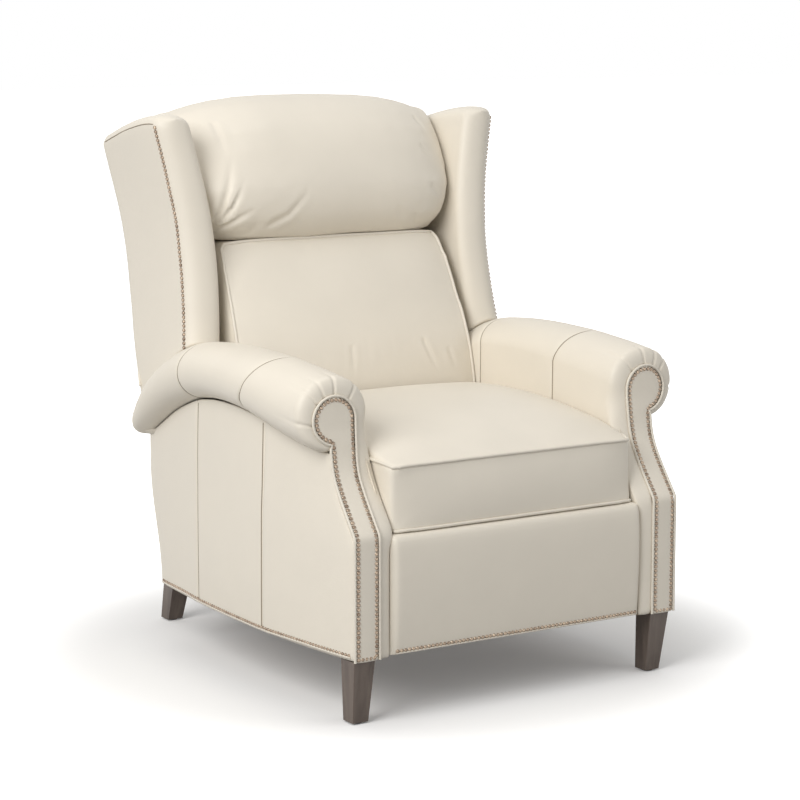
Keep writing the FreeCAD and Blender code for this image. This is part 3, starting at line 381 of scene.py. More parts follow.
def arm_rows():
    count = inner_count + over_count + under_count
    outer = [arm_point(k, cover_start) for k in range(count)]
    inner = [scroll_outline(k) for k in range(count)]
    shoulder = [mix(0.010, 0.027, step(0.46, 0.54, z) if k < inner_count else 1.0)
                for k, (x, z) in enumerate(outer)]
    tuck = [(x, sweep(z) + 0.009, z) for x, z in inner]
    back_of_tuck = [(hidden_x, sweep(z) + 0.010, z) for x, z in inner[:inner_count]]
    for k in range(inner_count, count):
        share = (k - inner_count) / (count - inner_count)
        back_of_tuck.append((mix(hidden_x, hidden_outer_x, share), 0.094,
                             along(roll_under, cover_start) + 0.006))
    rows = [row + [(x, 0.013 + sweep(z), z) for x, z in hidden_return(cover_start)]
            for row in (back_of_tuck, tuck)]
    steps = 14
    for j in range(steps, 0, -1):
        turn = math.pi / 2 * j / steps
        row = []
        for k in range(count):
            (x0, z0), (x1, z1) = outer[k], inner[k]
            square = 1.0 if k < inner_count else 0.9
            share = 1 - math.cos(turn) ** square
            x, z = mix(x0, x1, share), mix(z0, z1, share)
            lift = pleat(k, turn / (math.pi / 2))
            forward = math.sin(turn) ** (1.0 if k < inner_count else 0.62)
            y = mix(sweep(z0), sweep(z1), share) + shoulder[k] * (1 - forward) + 0.002
            out_x, out_z = x0 - scroll_x, z0 - scroll_z
            size = math.hypot(out_x, out_z)
            sideways = lift * (1 - share * 0.8)
            row.append((x - sideways * out_x / size, y + lift * share, z - sideways * out_z / size))
        row += [(x, 0.014 + sweep(z), z) for x, z in hidden_return(cover_start)]
        rows.append(row)
    columns = []
    for k in range(count):
        z0 = outer[k][1]
        near = sweep(z0) + shoulder[k] + 0.002
        if k < inner_count and z0 <= seat_foot_z:
            columns.append(spread(near, 0.06, 30))
            continue
        far = roll_end - max(0.0, 0.51 - z0) * 0.15
        seams = [along(line, roll_angle(k)) for line in seam_depths]
        columns.append(seam_places([near] + seams + [far], 3))
    for i in range(31):
        row = []
        for k in range(count):
            y = columns[k][i]
            x, z = arm_point(k, max(y, cover_start))
            groove = sum(dip(y - along(line, roll_angle(k)), 0.0026) for line in seam_depths)
            groove -= 0.55 * sum(dip(abs(y - along(line, roll_angle(k))) - 0.009, 0.006)
                                 for line in seam_depths)
            ahead = y - (sweep(outer[k][1]) + shoulder[k] + 0.002)
            groove = 0.0020 * groove + pleat(k, 0.0) * step(0.045, 0.0, ahead)
            middle = mix(along(roll_under, y), along(roll_top, y), 0.5)
            out_x, out_z = x - roll_x, (z - middle) if k >= inner_count else 0.0
            size = max(math.hypot(out_x, out_z), 1e-6)
            row.append((x - groove * out_x / size, y, z - groove * out_z / size))
        row += [(x, mix(0.016 + sweep(z), 0.79 if z > 0.355 else 0.06, i / 30), z)
                for x, z in hidden_return(columns[inner_count + over_count][i])]
        rows.append(row)
    rows.append([(mix(x, 0.35, 0.12), y + 0.005, mix(z, 0.45, 0.12)) for x, y, z in rows[-1]])
    return rows


right_arm = dress_pair("arm_cover", arm_rows(), "base", leather("arm_leather"),
                       ("arm_roll", "arm_inner_pad"), ends=1)


def laid_on(piece, points, lift):
    """The points moved onto a piece's surface and lifted off it, each with its facing."""
    surface = BVHTree.FromObject(piece, bpy.context.evaluated_depsgraph_get())
    laid = []
    for x, y, z in points:
        place, normal, _, _ = surface.find_nearest(Vector((x, front_y + y, z)))
        place = place + normal * lift
        laid.append((place.x, place.y - front_y, place.z, normal.x, normal.y, normal.z))
    return laid


def both_sides(paths):
    """The given paths and their mirror images on the chair's other side."""
    return paths + [([(-p[0], p[1], p[2]) + ((-p[3], p[4], p[5]) if len(p) > 3 else ())
                      for p in points], ring) for points, ring in paths]


def evaluated_mesh(piece):
    """Plain mesh of a piece with its modifiers applied."""
    views = bpy.context.evaluated_depsgraph_get()
    return bpy.data.meshes.new_from_object(piece.evaluated_get(views), depsgraph=views)


def grown(name, tree, paths, sizes):
    """Plain mesh that a node tree grows along paths of points, each open or a ring."""
    verts, edges, facing = [], [], []
    for points, ring in paths:
        first = len(verts)
        verts += [(p[0], front_y + p[1], p[2]) for p in points]
        facing += [c for p in points for c in (p[3:] if len(p) > 3 else (0.0, 0.0, 1.0))]
        edges += [(first + i, first + i + 1) for i in range(len(points) - 1)]
        if ring:
            edges.append((len(verts) - 1, first))
    line = bpy.data.meshes.new(name + "_line")
    line.from_pydata(verts, edges, [])
    line.attributes.new("facing", "FLOAT_VECTOR", "POINT").data.foreach_set("vector", facing)
    carrier = placed(name + "_line", line)
    growth = carrier.modifiers.new(name, "NODES")
    growth.node_group = tree
    for item in tree.interface.items_tree:
        if item.in_out == "INPUT" and item.name in sizes:
            growth[item.identifier] = sizes[item.name]
    mesh = evaluated_mesh(carrier)
    bpy.data.objects.remove(carrier)
    mesh.name = name
    return placed(name, mesh)


def path_tree(name, sizes, paint, result):
    """Empty tree that takes a path, its sizes and its material, with the outputs of its inputs."""
    tree = bpy.data.node_groups.new(name, "GeometryNodeTree")
    kinds = [("Path", "Geometry")] + [(size, "Float") for size in sizes] + [(paint, "Material")]
    for socket, kind in kinds:
        tree.interface.new_socket(socket, in_out="INPUT", socket_type="NodeSocket" + kind)
    tree.interface.new_socket(result, in_out="OUTPUT", socket_type="NodeSocketGeometry")
    return tree, node(tree, "NodeGroupInput").outputs


def hand_over(tree, growth, paint, result):
    """Ends a tree: what has grown becomes one plain mesh in its material."""
    solid = node(tree, "GeometryNodeRealizeInstances", {"Geometry": growth})
    cover = node(tree, "GeometryNodeSetMaterial", {"Geometry": solid.outputs["Geometry"],
                                                   "Material": paint})
    node(tree, "NodeGroupOutput", {result: cover.outputs["Geometry"]})


def piping_tree():
    """Nodes that run a round cord along a path, with its radius and hide as inputs."""
    tree, given = path_tree("piping", ["Cord radius"], "Hide", "Cord")
    path = node(tree, "GeometryNodeMeshToCurve", {"Mesh": given["Path"]})
    round_edge = node(tree, "GeometryNodeCurvePrimitiveCircle", {"Resolution": 8,
                                                                 "Radius": given["Cord radius"]})
    tube = node(tree, "GeometryNodeCurveToMesh", {"Curve": path.outputs["Curve"], "Fill Caps": True,
                                                  "Profile Curve": round_edge.outputs["Curve"]})
    hand_over(tree, tube.outputs["Mesh"], given["Hide"], "Cord")
    return tree


piping = piping_tree()
# Painted shade: the dark seam cords stand in for the shade in the seams' grooves, in a dark thread colour.
seam_shade_cord = leather("seam_shade_cord", (0.26, 0.215, 0.16), roughness=0.7, crease=0.0)
seam_shade_radius, seam_shade_sink = 0.0011, -0.0001
welt_leather = leather("welt_leather", (0.74, 0.69, 0.60))


def corded(name, body, radius, paths, hide=welt_leather):
    """Cord along paths, or a dark cord of painted seam shade, finished as trim that rides on a body."""
    cord = grown(name, piping, paths, {"Cord radius": radius, "Hide": hide})
    dress(cord, body, hide, levels=0)


def arm_seam(line, side_up):
    """Path of one seam across the roll and down the inside of the arm."""
    last = inner_count + over_count + under_count - 3
    path = []
    for k in range(side_up, last):
        y = along(line, roll_angle(k))
        x, z = arm_point(k, y)
        path.append((x, y, z))
    return path


# Painted seam shade: dark cords along the arm's seams.
corded("arm_seam_shade_cords", "base", seam_shade_radius, both_sides(
    [(laid_on(right_arm, arm_seam(line, 17), seam_shade_sink), False) for line in seam_depths]), seam_shade_cord)

# Arm side panels: three widths of hide seamed together over foam on the plywood side. They
# swell in the middle, tuck under the roll, wrap round the arm's rear and end at the nailed hem.
panel_seams = [0.295, 0.562]
side_face_x, side_swell = 0.3705, 0.027


def side_point(y, z, near, far, v):
    """Distance from the middle of the chair of a side panel's face."""
    u = (y - near) / (far - near)
    swell = side_swell * math.sin(math.pi * min(max(u, 0.0), 1.0) ** 0.92) * (1 - 0.35 * v ** 2)
    groove = sum(dip(y - s, 0.0028) for s in panel_seams) * 0.0022
    puff = 0.0018 * sum(dip(abs(y - s) - 0.012, 0.008) for s in panel_seams)
    edge = 0.004 * (dip(u, 0.012) + dip(1 - u, 0.012) + dip(v, 0.012))
    return side_face_x + swell + puff - groove - edge


def side_rows():
    heights = [0.0, 0.006, 0.012, 0.02, 0.04] + [i / 16 for i in range(1, 16)] + [0.97, 0.99, 1.0]
    rows = []
    for v in heights:
        z = mix(hem_z, 0.53, v)
        near, far = sweep(z) + 0.003, mix(0.762, 0.806, step(hem_z, 0.44, z))
        outer_row = []
        for y in seam_places([near] + panel_seams + [far], 4):
            z = mix(hem_z, along(roll_under, y) + 0.002, v)
            outer_row.append((side_point(y, z, near, far, v), y, z))
        end_y, end_z = outer_row[-1][1:]
        wrap = [(0.3480, end_y + 0.004, end_z), (0.2925, end_y + 0.004, end_z), (0.2925, end_y, end_z)]
        rows.append(outer_row + wrap + [(0.3475, y - 0.001, z) for x, y, z in outer_row[::-1]])
    return rows


right_side = dress_pair("arm_side", side_rows(), "base", leather("side_leather"), ("arm_side_pad",))
side_seams = [(laid_on(right_side, [(0.40, y, mix(0.135, along(roll_under, y) - 0.006, i / 30))
                                    for i in range(31)], seam_shade_sink), False) for y in panel_seams]
# Painted seam shade: dark cords along the side panels' seams.
corded("side_seam_shade_cords", "base", seam_shade_radius, both_sides(side_seams), seam_shade_cord)
hem_line = [(0.42, y, 0.1262) for y in spread(0.006, 0.760, 60)]
corded("side_hem_welts", "base", 0.0024, both_sides([(laid_on(right_side, hem_line, 0.0005), False)]))

# Nailed front panels: a narrow strip of hide over thin padding that runs up each post, back
# along the sweep and round the scroll, with a fine piping round its edge and bronze nails.
strip_radius = 0.0435


def strip_edges(z):
    """Inner and outer edge of the nailed panel at a height."""
    inner = mix(0.3185, scroll_x - strip_radius, step(0.45, scroll_z, z))
    reach = math.sqrt(max(strip_radius ** 2 - (z - scroll_z) ** 2, 0.0))
    outer = 0.3695
    if z > scroll_z:
        inner = scroll_x - reach
    if z > scroll_z - 0.0424:
        outer = scroll_x + reach
    return inner, outer


def strip_rows():
    rows = []
    heights = [hem_z, hem_z + 0.003, hem_z + 0.01] + spread(0.14, 0.51, 44)
    heights += [0.5186 + 0.0424 * (1 - math.cos(math.pi * i / 20)) for i in range(1, 20)]
    heights += [scroll_z + 0.0434]
    for z in heights:
        inner, outer = strip_edges(z)
        if z < hem_z + 0.001:
            inner, outer = inner + 0.001, outer - 0.001
        shares = [0.0, 0.04, 0.12, 0.3, 0.5, 0.7, 0.88, 0.96, 1.0]
        face = [(mix(inner, outer, s),
                 sweep(z) + 0.0022 * dip(min(s, 1 - s), 0.05) - 0.0012 * math.sin(math.pi * s), z)
                for s in shares]
        back = [(mix(inner, outer, s), sweep(z) + 0.010, z) for s in (1.0, 0.5, 0.0)]
        rows.append(face + back)
    return rows


right_front = dress_pair("arm_front", strip_rows(), "base", leather("panel_leather"),
                         ("arm_front_panel",))


def panel_line(inset, foot):
    """Line round the nailed panel at a distance inside its edge, up, round and down."""
    radius, outer, inner = 0.0455 - inset, 0.3705 - inset, 0.3172 + inset
    path = [(outer, sweep(z), z) for z in spread(foot, 0.508, 50)]
    for angle in spread(-80.0, 180.0, 60):
        turn = math.radians(angle)
        x, z = scroll_x + radius * math.cos(turn), scroll_z + radius * math.sin(turn)
        path.append((x, sweep(z), z))
    for z in spread(scroll_z, foot, 60)[1:]:
        path.append((mix(inner, scroll_x - radius, step(0.45, scroll_z, z)), sweep(z), z))
    return path


corded("arm_front_piping", "base", 0.0027, both_sides([(panel_line(0.0, 0.126), False)]))


def nail_tree():
    """Nodes that drive domed nails along a path at a pitch, each a little askew."""
    tree, given = path_tree("nails", ["Pitch", "Head radius", "Dome height"], "Metal", "Nails")
    path = node(tree, "GeometryNodeMeshToCurve", {"Mesh": given["Path"]})
    spaced = node(tree, "GeometryNodeResampleCurve", {"Curve": path.outputs["Curve"],
                                                      "Length": given["Pitch"]}, mode="LENGTH")
    head = node(tree, "GeometryNodeMeshUVSphere", {"Segments": 10, "Rings": 6, "Radius": 1.0})
    smooth = node(tree, "GeometryNodeSetShadeSmooth", {"Geometry": head.outputs["Mesh"]})
    size = node(tree, "CombineXYZ", {"X": given["Head radius"], "Y": given["Head radius"],
                                     "Z": given["Dome height"]})
    facing = node(tree, "GeometryNodeInputNamedAttribute", {"Name": "facing"}, data_type="FLOAT_VECTOR")
    askew = node(tree, "FunctionNodeRandomValue", {0: (-0.10,) * 3, 1: (0.10,) * 3, "Seed": 11},
                 data_type="FLOAT_VECTOR")
    tipped = node(tree, "VectorMath", {0: facing.outputs[0], 1: askew.outputs[0]})
    aim = node(tree, "FunctionNodeAlignRotationToVector", {"Vector": tipped.outputs[0]}, axis="Z")
    heads = node(tree, "GeometryNodeInstanceOnPoints", {"Points": spaced.outputs["Curve"],
                                                        "Instance": smooth.outputs["Geometry"],
                                                        "Scale": size.outputs[0],
                                                        "Rotation": aim.outputs["Rotation"]})
    hand_over(tree, heads.outputs["Instances"], given["Metal"], "Nails")
    return tree


def metal(name, dark, light, metallic, sheen, scale, detail=5.0, start=0.0, end=1.0):
    """Metal or hard coat whose tone and sheen vary a little over the piece."""
    paint, tree, shader, place = fresh_paint(name)
    noisy = node(tree, "TexNoise", {"Vector": place, "Scale": scale, "Detail": detail})
    cloud = noisy.outputs["Fac"]
    plug(tree, shader, {"Metallic": metallic, "Roughness": between(tree, cloud, *sheen),
                        "Base Color": ramp(tree, cloud, dark, light, start, end)})
    return paint


nails = nail_tree()
nail_sink = -0.0002
nail_bronze = metal("nail_bronze", (0.17, 0.125, 0.095), (0.42, 0.335, 0.255), 1.0, (0.24, 0.42),
                    140.0, 2.0, 0.3, 0.72)
nail_sizes = {"Pitch": 0.0086, "Head radius": 0.0040, "Dome height": 0.0026, "Metal": nail_bronze}


def nailed(name, body, paths):
    """Rows of nails along paths, which ride on a body."""
    dress(grown(name, nails, paths, nail_sizes), body, nail_bronze, levels=0)


nail_ring = laid_on(right_front, panel_line(0.0072, 0.1306), nail_sink)
hem_nails = laid_on(right_side, [(0.42, y, 0.1330) for y in spread(0.010, 0.756, 90)], nail_sink)
nailed("arm_nails", "base", both_sides([(nail_ring, True), (hem_nails, False)]))

# Footrest: one smooth padded panel between the posts, rolled over at its upper edge, with a
# nail row and a welt along its foot.
footrest_half = 0.2893


def across(half, steps):
    """Places from one side to the other of a width, closer together towards both ends."""
    return [half * math.sin(math.pi / 2 * (i / steps - 1)) for i in range(2 * steps + 1)]


def footrest_rows():
    rows = []
    for x in across(footrest_half, 24):
        side = max(0.0, abs(x) / footrest_half - 0.955) / 0.045
        edge, drop = 0.011 * side ** 2, 0.012 * side ** 3
        profile = [(0.0268, 0.1262), (0.008, 0.1262), (0.0035 + edge, 0.129), (0.0018 + edge, 0.138),
                   (-0.0005 + edge, 0.18), (-0.003 + edge, 0.235), (-0.003 + edge, 0.29),
                   (-0.001 + edge, 0.332 - drop), (0.0025 + edge, 0.346 - drop),
                   (0.0085 + edge * 0.6, 0.3512 - drop), (0.020, 0.3518 - drop),
                   (0.0268, 0.3518 - drop), (0.0270, 0.3460 - drop)]
        rows.append([(x, y, z) for y, z in profile])
    return rows


footrest_cover = skin("footrest_cover", footrest_rows())
dress(footrest_cover, "footrest", leather("footrest_leather"), ["footrest_pad"], 1)
foot_line = [(x, -0.02, 0.1322) for x in spread(-0.282, 0.282, 60)]
nailed("footrest_nails", "footrest", [(laid_on(footrest_cover, foot_line, nail_sink), False)])
foot_welt = [(x, -0.01, 0.1268) for x in spread(-0.284, 0.284, 60)]
corded("footrest_welt", "footrest", 0.0022, [(laid_on(footrest_cover, foot_welt, 0.0005), False)])

# Seat cushion: a boxed cushion of foam in a hide case, with a crowned top, a straight front
# border and a cord sewn into its upper and lower edges.
seat_half, seat_near, seat_far, seat_round = 0.2790, 0.019, 0.542, 0.016
seat_low, welt_z = 0.3455, 0.477
hide_grid = 0.0075


def seat_corner(x):
    """Depth of the cushion's front edge across its width, rounded at both corners."""
    over = min(max(0.0, abs(x) - (seat_half - seat_round)), seat_round)
    return seat_near + seat_round - math.sqrt(seat_round ** 2 - over ** 2)


def seat_rows():
    rows = []
    places = [-1.0, -0.996, -0.985, -0.968, -0.945, -0.91, -0.86, -0.75, -0.6, -0.4, -0.2, 0.0]
    places += [-p for p in reversed(places[:-1])]
    for p in places:
        x = seat_half * p
        rim = 1 - abs(p) ** 6
        near = seat_corner(x)
        ring = [(mix(near, seat_far, s), seat_low) for s in (0.02, 0.2, 0.5, 0.8, 0.98)]
        ring += [(seat_far, mix(seat_low, 0.51, s)) for s in (0.1, 0.5, 0.9)]
        for s in (0.99, 0.93, 0.85, 0.7, 0.55, 0.4, 0.28, 0.17, 0.09, 0.035, 0.0):
            crown = welt_z + along([(0.0, 0.0), (0.06, 0.018), (0.17, 0.042), (0.35, 0.064),
                                   (0.6, 0.076), (0.85, 0.070), (1.0, 0.052)], s) * (
                                       0.52 + 0.48 * rim ** 0.8)
            ring.append((mix(near, seat_far, s), crown))
        ring += [(near - 0.004 * rim, 0.455), (near - 0.011 * rim, 0.415),
                 (near - 0.012 * rim, 0.378), (near - 0.007, 0.354)]
        rows.append([(x, y, z) for y, z in ring])
    return rows


def remeshed(piece):
    """The piece with an even mesh, fine enough for the hide to swell and crease."""
    even = piece.modifiers.new("even_mesh", "REMESH")
    even.mode, even.voxel_size = "VOXEL", hide_grid
    mesh = evaluated_mesh(piece)
    name = piece.name
    bpy.data.objects.remove(piece)
    mesh.name = name
    return placed(name, mesh)


def smoothed(mesh, rounds):
    """Draws the mesh even, round by round."""
    work = bmesh.new()
    work.from_mesh(mesh)
    for _ in range(rounds):
        bmesh.ops.smooth_vert(work, verts=work.verts, factor=0.5, use_axis_x=True, use_axis_y=True,
                              use_axis_z=True)
    work.to_mesh(mesh)
    work.free()


def swollen(piece, held, slack, most):
    """The case blown out by its filling: it starts slack, and its held places stay put."""
    mesh = piece.data
    smoothed(mesh, 3)
    grip = piece.vertex_groups.new(name="held")
    starts = []
    for vertex in mesh.vertices:
        share = held(vertex.co.x, vertex.co.y - front_y, vertex.co.z)
        grip.add([vertex.index], share, "REPLACE")
        starts.append(vertex.co - vertex.normal * slack * (1 - share))
    for vertex, start in zip(mesh.vertices, starts):
        vertex.co = start
    case = piece.modifiers.new("case", "CLOTH")
    case.settings.quality = 4
    case.settings.use_pressure = True
    case.settings.uniform_pressure_force = 4.0
    case.settings.effector_weights.gravity = 0.0
    case.settings.vertex_group_mass = "held"
    case.settings.pin_stiffness = 1.0
    for moment in range(1, 21):
        scene.frame_set(moment)
    views = bpy.context.evaluated_depsgraph_get()
    blown = [v.co.copy() for v in piece.evaluated_get(views).data.vertices]
    piece.modifiers.remove(case)
    scene.frame_set(1)
    for vertex, start, end in zip(mesh.vertices, starts, blown):
        move = end - start
        if move.length > most:
            move *= most / move.length
        vertex.co = start + move
    smoothed(mesh, 2)
    return piece


def finer(piece):
    """One subdivision, applied."""
    rounding = piece.modifiers.new("rounding", "SUBSURF")
    rounding.levels = rounding.render_levels = 1
    mesh = evaluated_mesh(piece)
    piece.modifiers.remove(rounding)
    piece.vertex_groups.clear()
    piece.data = mesh


def settle(piece, height, scale, seed):
    """Shallow uneven swells of a used cushion."""
    shift = Vector((seed, seed * 1.7, seed * 0.6))
    moves = [v.normal * height * noise.noise(v.co * scale + shift) for v in piece.data.vertices]
    for vertex, move in zip(piece.data.vertices, moves):
        vertex.co += move


def drawn_in(piece, creases, facing=-0.15):
    """Creases of the hide on the piece's front: lines of x and z, with a depth and a width."""
    mesh = piece.data
    front = [(v.index, v.co.x, v.co.z) for v in mesh.vertices if v.normal.y < facing]
    moves = {}
    for line, depth, width in creases:
        lengths = [math.dist(a, b) for a, b in zip(line, line[1:])]
        low_x, high_x = min(x for x, z in line) - 4 * width, max(x for x, z in line) + 4 * width
        low_z, high_z = min(z for x, z in line) - 4 * width, max(z for x, z in line) + 4 * width
        for index, px, pz in front:
            if not (low_x < px < high_x and low_z < pz < high_z):
                continue
            nearest, place, run = 1.0, 0.0, 0.0
            for (x0, z0), (x1, z1), size in zip(line, line[1:], lengths):
                ux, uz = (x1 - x0) / size, (z1 - z0) / size
                t = min(max((px - x0) * ux + (pz - z0) * uz, 0.0), size)
                away = math.hypot(px - x0 - t * ux, pz - z0 - t * uz)
                if away < nearest:
                    nearest, place = away, (run + t) / sum(lengths)
                run += size
            fade = step(0.0, 0.15, place) * (1 - step(0.35, 1.0, place))
            pull = depth * fade * (dip(nearest, width) - 0.4 * dip(nearest - 2.2 * width, 1.3 * width))
            if abs(pull) > abs(moves.get(index, 0.0)):
                moves[index] = pull
    for index, pull in moves.items():
        vertex = mesh.vertices[index]
        vertex.co -= vertex.normal * pull


def seat_held(x, y, z):
    edge = dip(z - welt_z, 0.012) * dip(min(abs(y - seat_corner(min(abs(x), seat_half))), 0.05), 0.02)
    foot = step(0.366, 0.352, z)
    rear = step(0.50, 0.53, y)
    side = step(0.268, 0.276, abs(x))
    return min(1.0, edge + foot + rear + side * 0.85)


seat_cover = swollen(remeshed(skin("seat_cover", seat_rows())), seat_held, 0.005, 0.012)
finer(seat_cover)
settle(seat_cover, 0.0016, 9.0, 3.0)
dress(seat_cover, "seat", leather("seat_leather"), ["seat_cushion"], 0)
seat_top_edge = [(-seat_half, y, z) for y, z in zip(spread(0.46, seat_near + 0.03, 20),
                                                    spread(0.502, 0.479, 20))]
seat_front_places = across(seat_half, 40)[3:78]
seat_top_edge += [(x, seat_corner(x) - 0.001, 0.4775) for x in seat_front_places]
seat_top_edge += [(-x, y, z) for x, y, z in reversed(seat_top_edge[:21])]
seat_foot_edge = [(x, seat_corner(x) - 0.010, 0.3545) for x in seat_front_places]
corded("seat_welts", "seat", 0.0032, [(laid_on(seat_cover, seat_top_edge, 0.0016), False),
                                      (laid_on(seat_cover, seat_foot_edge, 0.0020), False)])

# Back cushion: a firm cushion that follows the raked frame, with a corded edge each side and
# along its rounded top, and a few creases where it meets the seat.
back_front = [(0.366, 0.549), (0.50, 0.549), (0.516, 0.550), (0.565, 0.562), (0.62, 0.578),
              (0.72, 0.622), (0.80, 0.662), (0.834, 0.684)]
back_half = [(0.366, 0.272), (0.5, 0.279), (0.62, 0.281), (0.72, 0.275), (0.80, 0.269),
             (0.834, 0.266)]
back_top, back_corner, back_rake = 0.834, 0.019, math.radians(22.0)


def back_plane(z, out):
    """Depth at a height of the plane parallel to the back's posts."""
    return 0.615 + (z - 0.310) * math.tan(back_rake) + out / math.cos(back_rake)


def back_edge(z):
    """Half width of the back cushion at a height, rounded at its upper corners."""
    over = max(0.0, z - (back_top - back_corner))
    return along(back_half, z) - back_corner + math.sqrt(max(back_corner ** 2 - over ** 2, 0.0))


def back_rows():
    rows = []
    for z in spread(0.368, back_top - 0.0008, 32):
        front, half = along(back_front, z), back_edge(z)
        crown = 0.022 * step(0.5, 0.62, z) * (1 - 0.6 * step(0.78, 0.83, z))
        ring = []
        for j in range(21):
            s = j / 10 - 1
            round_off = 0.010 * max(0.0, abs(s) - 0.9) ** 2 / 0.01
            ring.append((half * s, front - crown * (1 - s * s) + round_off * 0.6, z))
        rear = back_plane(z, -0.036)
        ring += [(half * s, rear, z) for s in (0.995, 0.5, 0.0, -0.5, -0.995)]
        rows.append(ring)
    return rows


def back_held(x, y, z):
    rear = step(0.012, 0.03, y - along(back_front, z))
    side = step(0.012, 0.004, back_edge(min(max(z, 0.37), back_top)) - abs(x))
    ends = step(0.50, 0.44, z) + step(0.815, 0.828, z)
    return min(1.0, rear + side + ends)


back_cover = swollen(remeshed(skin("back_cover", back_rows())), back_held, 0.004, 0.010)
finer(back_cover)
settle(back_cover, 0.0016, 8.0, 5.0)
drawn_in(back_cover, [([(-0.026, 0.625), (-0.027, 0.555)], 0.0016, 0.005),
                      ([(0.150, 0.625), (0.165, 0.590), (0.187, 0.545)], 0.0022, 0.005),
                      ([(0.215, 0.600), (0.232, 0.550)], 0.0014, 0.005),
                      ([(-0.170, 0.590), (-0.196, 0.548)], 0.0012, 0.005)])
dress(back_cover, "back", leather("back_leather"), ["back_cushion"], 0)
back_rim = [(-back_edge(z), along(back_front, z) + 0.004, z)
            for z in spread(0.48, back_top - back_corner, 30)
            + [back_top - back_corner + back_corner * math.sin(math.pi / 2 * i / 10) - 0.001
               for i in range(1, 11)]]
back_rim += [(mix(back_rim[-1][0], -back_rim[-1][0], i / 30), back_rim[-1][1] - 0.004, back_top - 0.001)
             for i in range(1, 30)] + [(-x, y, z) for x, y, z in reversed(back_rim)]
corded("back_welt", "back", 0.0034, [(laid_on(back_cover, back_rim, 0.0012), False)])

# Wings: plywood cheeks with foam inside and a thick rolled border round the front and over
# the top, nailed along its rear edge. They lean in at the waist and ride on the back.
wing_outer = [(0.60, 0.3795), (0.635, 0.3765), (0.70, 0.3695), (0.80, 0.3650), (0.90, 0.3705),
              (1.0, 0.3870), (1.065, 0.401), (1.10, 0.409)]
wing_near = [(0.60, 0.594), (0.64, 0.601), (0.80, 0.628), (0.90, 0.643), (1.0, 0.658), (1.10, 0.670)]
wing_far = [(0.505, 0.806), (0.628, 0.843), (0.729, 0.877), (0.851, 0.907), (0.951, 0.930),
            (1.038, 0.942)]
wing_thick = 0.072
border_width = 0.0142
inner_rounding, outer_rounding, top_rounding = 0.024, 0.034, 0.022


def rounded(share, power):
    """Height of a rounded edge at a share of its width: 0 at the rim and 1 at its end."""
    return (1 - (1 - share) ** power) ** (1 / power)


def roll_drop(x, y):
    """How far the roll's round top falls below its crest at a distance from the middle."""
    top, under = along(roll_top, y), along(roll_under, y)
    half = roll_half * along(roll_narrowing, y)
    away = min(abs(x - roll_x) / half, 0.93)
    return (top - under) / 2 * (1 - math.sqrt(1 - away ** 2))


def wing_top(y):
    return along([(0.66, 1.082), (0.70, 1.093), (0.78, 1.086), (0.87, 1.066), (0.945, 1.044)], y)


def wing_rows():
    rows = []
    levels = [0.0, 0.004, 0.02] + [i / 20 for i in range(1, 20)] + [0.965, 0.974, 0.98, 0.99, 0.997, 1.0]
    shares = [1.0, 0.985, 0.9, 0.75, 0.6, 0.45, 0.32, 0.22, 0.15, 0.11, 0.09, 0.078, 0.068, 0.056,
              0.038, 0.018, 0.006]
    for v in levels:
        inner, outer = [], []
        for u in shares + [0.0]:
            y = 0.8
            for _ in range(8):
                z = mix(along(roll_top, y), wing_top(y), v)
                y = mix(along(wing_near, z), along(wing_far, z), u)
            ahead = y - along(wing_near, z)
            face = rounded(min(ahead / inner_rounding, 1.0), 2.4)
            face_out = rounded(min(ahead / outer_rounding, 1.0), 2.2)
            cap = rounded(min((1 - v) * 0.46 / top_rounding, 1.0), 2.4)
            half, half_out = wing_thick / 2 * face * cap, (wing_thick / 2 + 0.005) * face_out * cap
            centre = along(wing_outer, z) - wing_thick / 2
            below = wing_top(y) - z
            groove = max(0.0003 * dip(ahead - border_width, 0.0045), 0.0022 * dip(below - 0.013, 0.004))
            puff = 0.0010 * step(border_width + 0.02, border_width + 0.06, ahead) * step(0.0, 0.05, below)
            lowered = max(0.0, 1 - (z - along(roll_top, y)) / 0.09) ** 2
            x_in, x_out = centre - half, centre + half_out - groove + puff
            inner.append((x_in, y, z - lowered * roll_drop(x_in, y)))
            outer.append((x_out, y, z - lowered * roll_drop(x_out, y)))
        rows.append(inner + outer[:-1][::-1])
    return rows


right_wing = dress_pair("wing_pad", wing_rows(), "back", leather("wing_leather"),
                        ("wing_inner_pad", "wing_outer_panel"))
wing_nail_line = [(0.43, along(wing_near, z) + border_width, z)
                  for z in spread(0.640, 1.066, 60)]
nailed("wing_nails", "back", both_sides([(laid_on(right_wing, wing_nail_line, 0.0009), False)]))
wing_seam = [(0.43, y, wing_top(y) - 0.013) for y in spread(0.690, 0.930, 30)]
# Painted seam shade: a dark cord along the wing's seam under its top.
corded("wing_seam_shade_cords", "back", seam_shade_radius,
       both_sides([(laid_on(right_wing, wing_seam, seam_shade_sink), False)]), seam_shade_cord)

# Head pillow: a full bolster across the top of the back, arched along its top and stuffed
# tight against the wings, with creases drawn from its lower corners and its ends.
pillow_top, brow_z = 1.130, 0.905


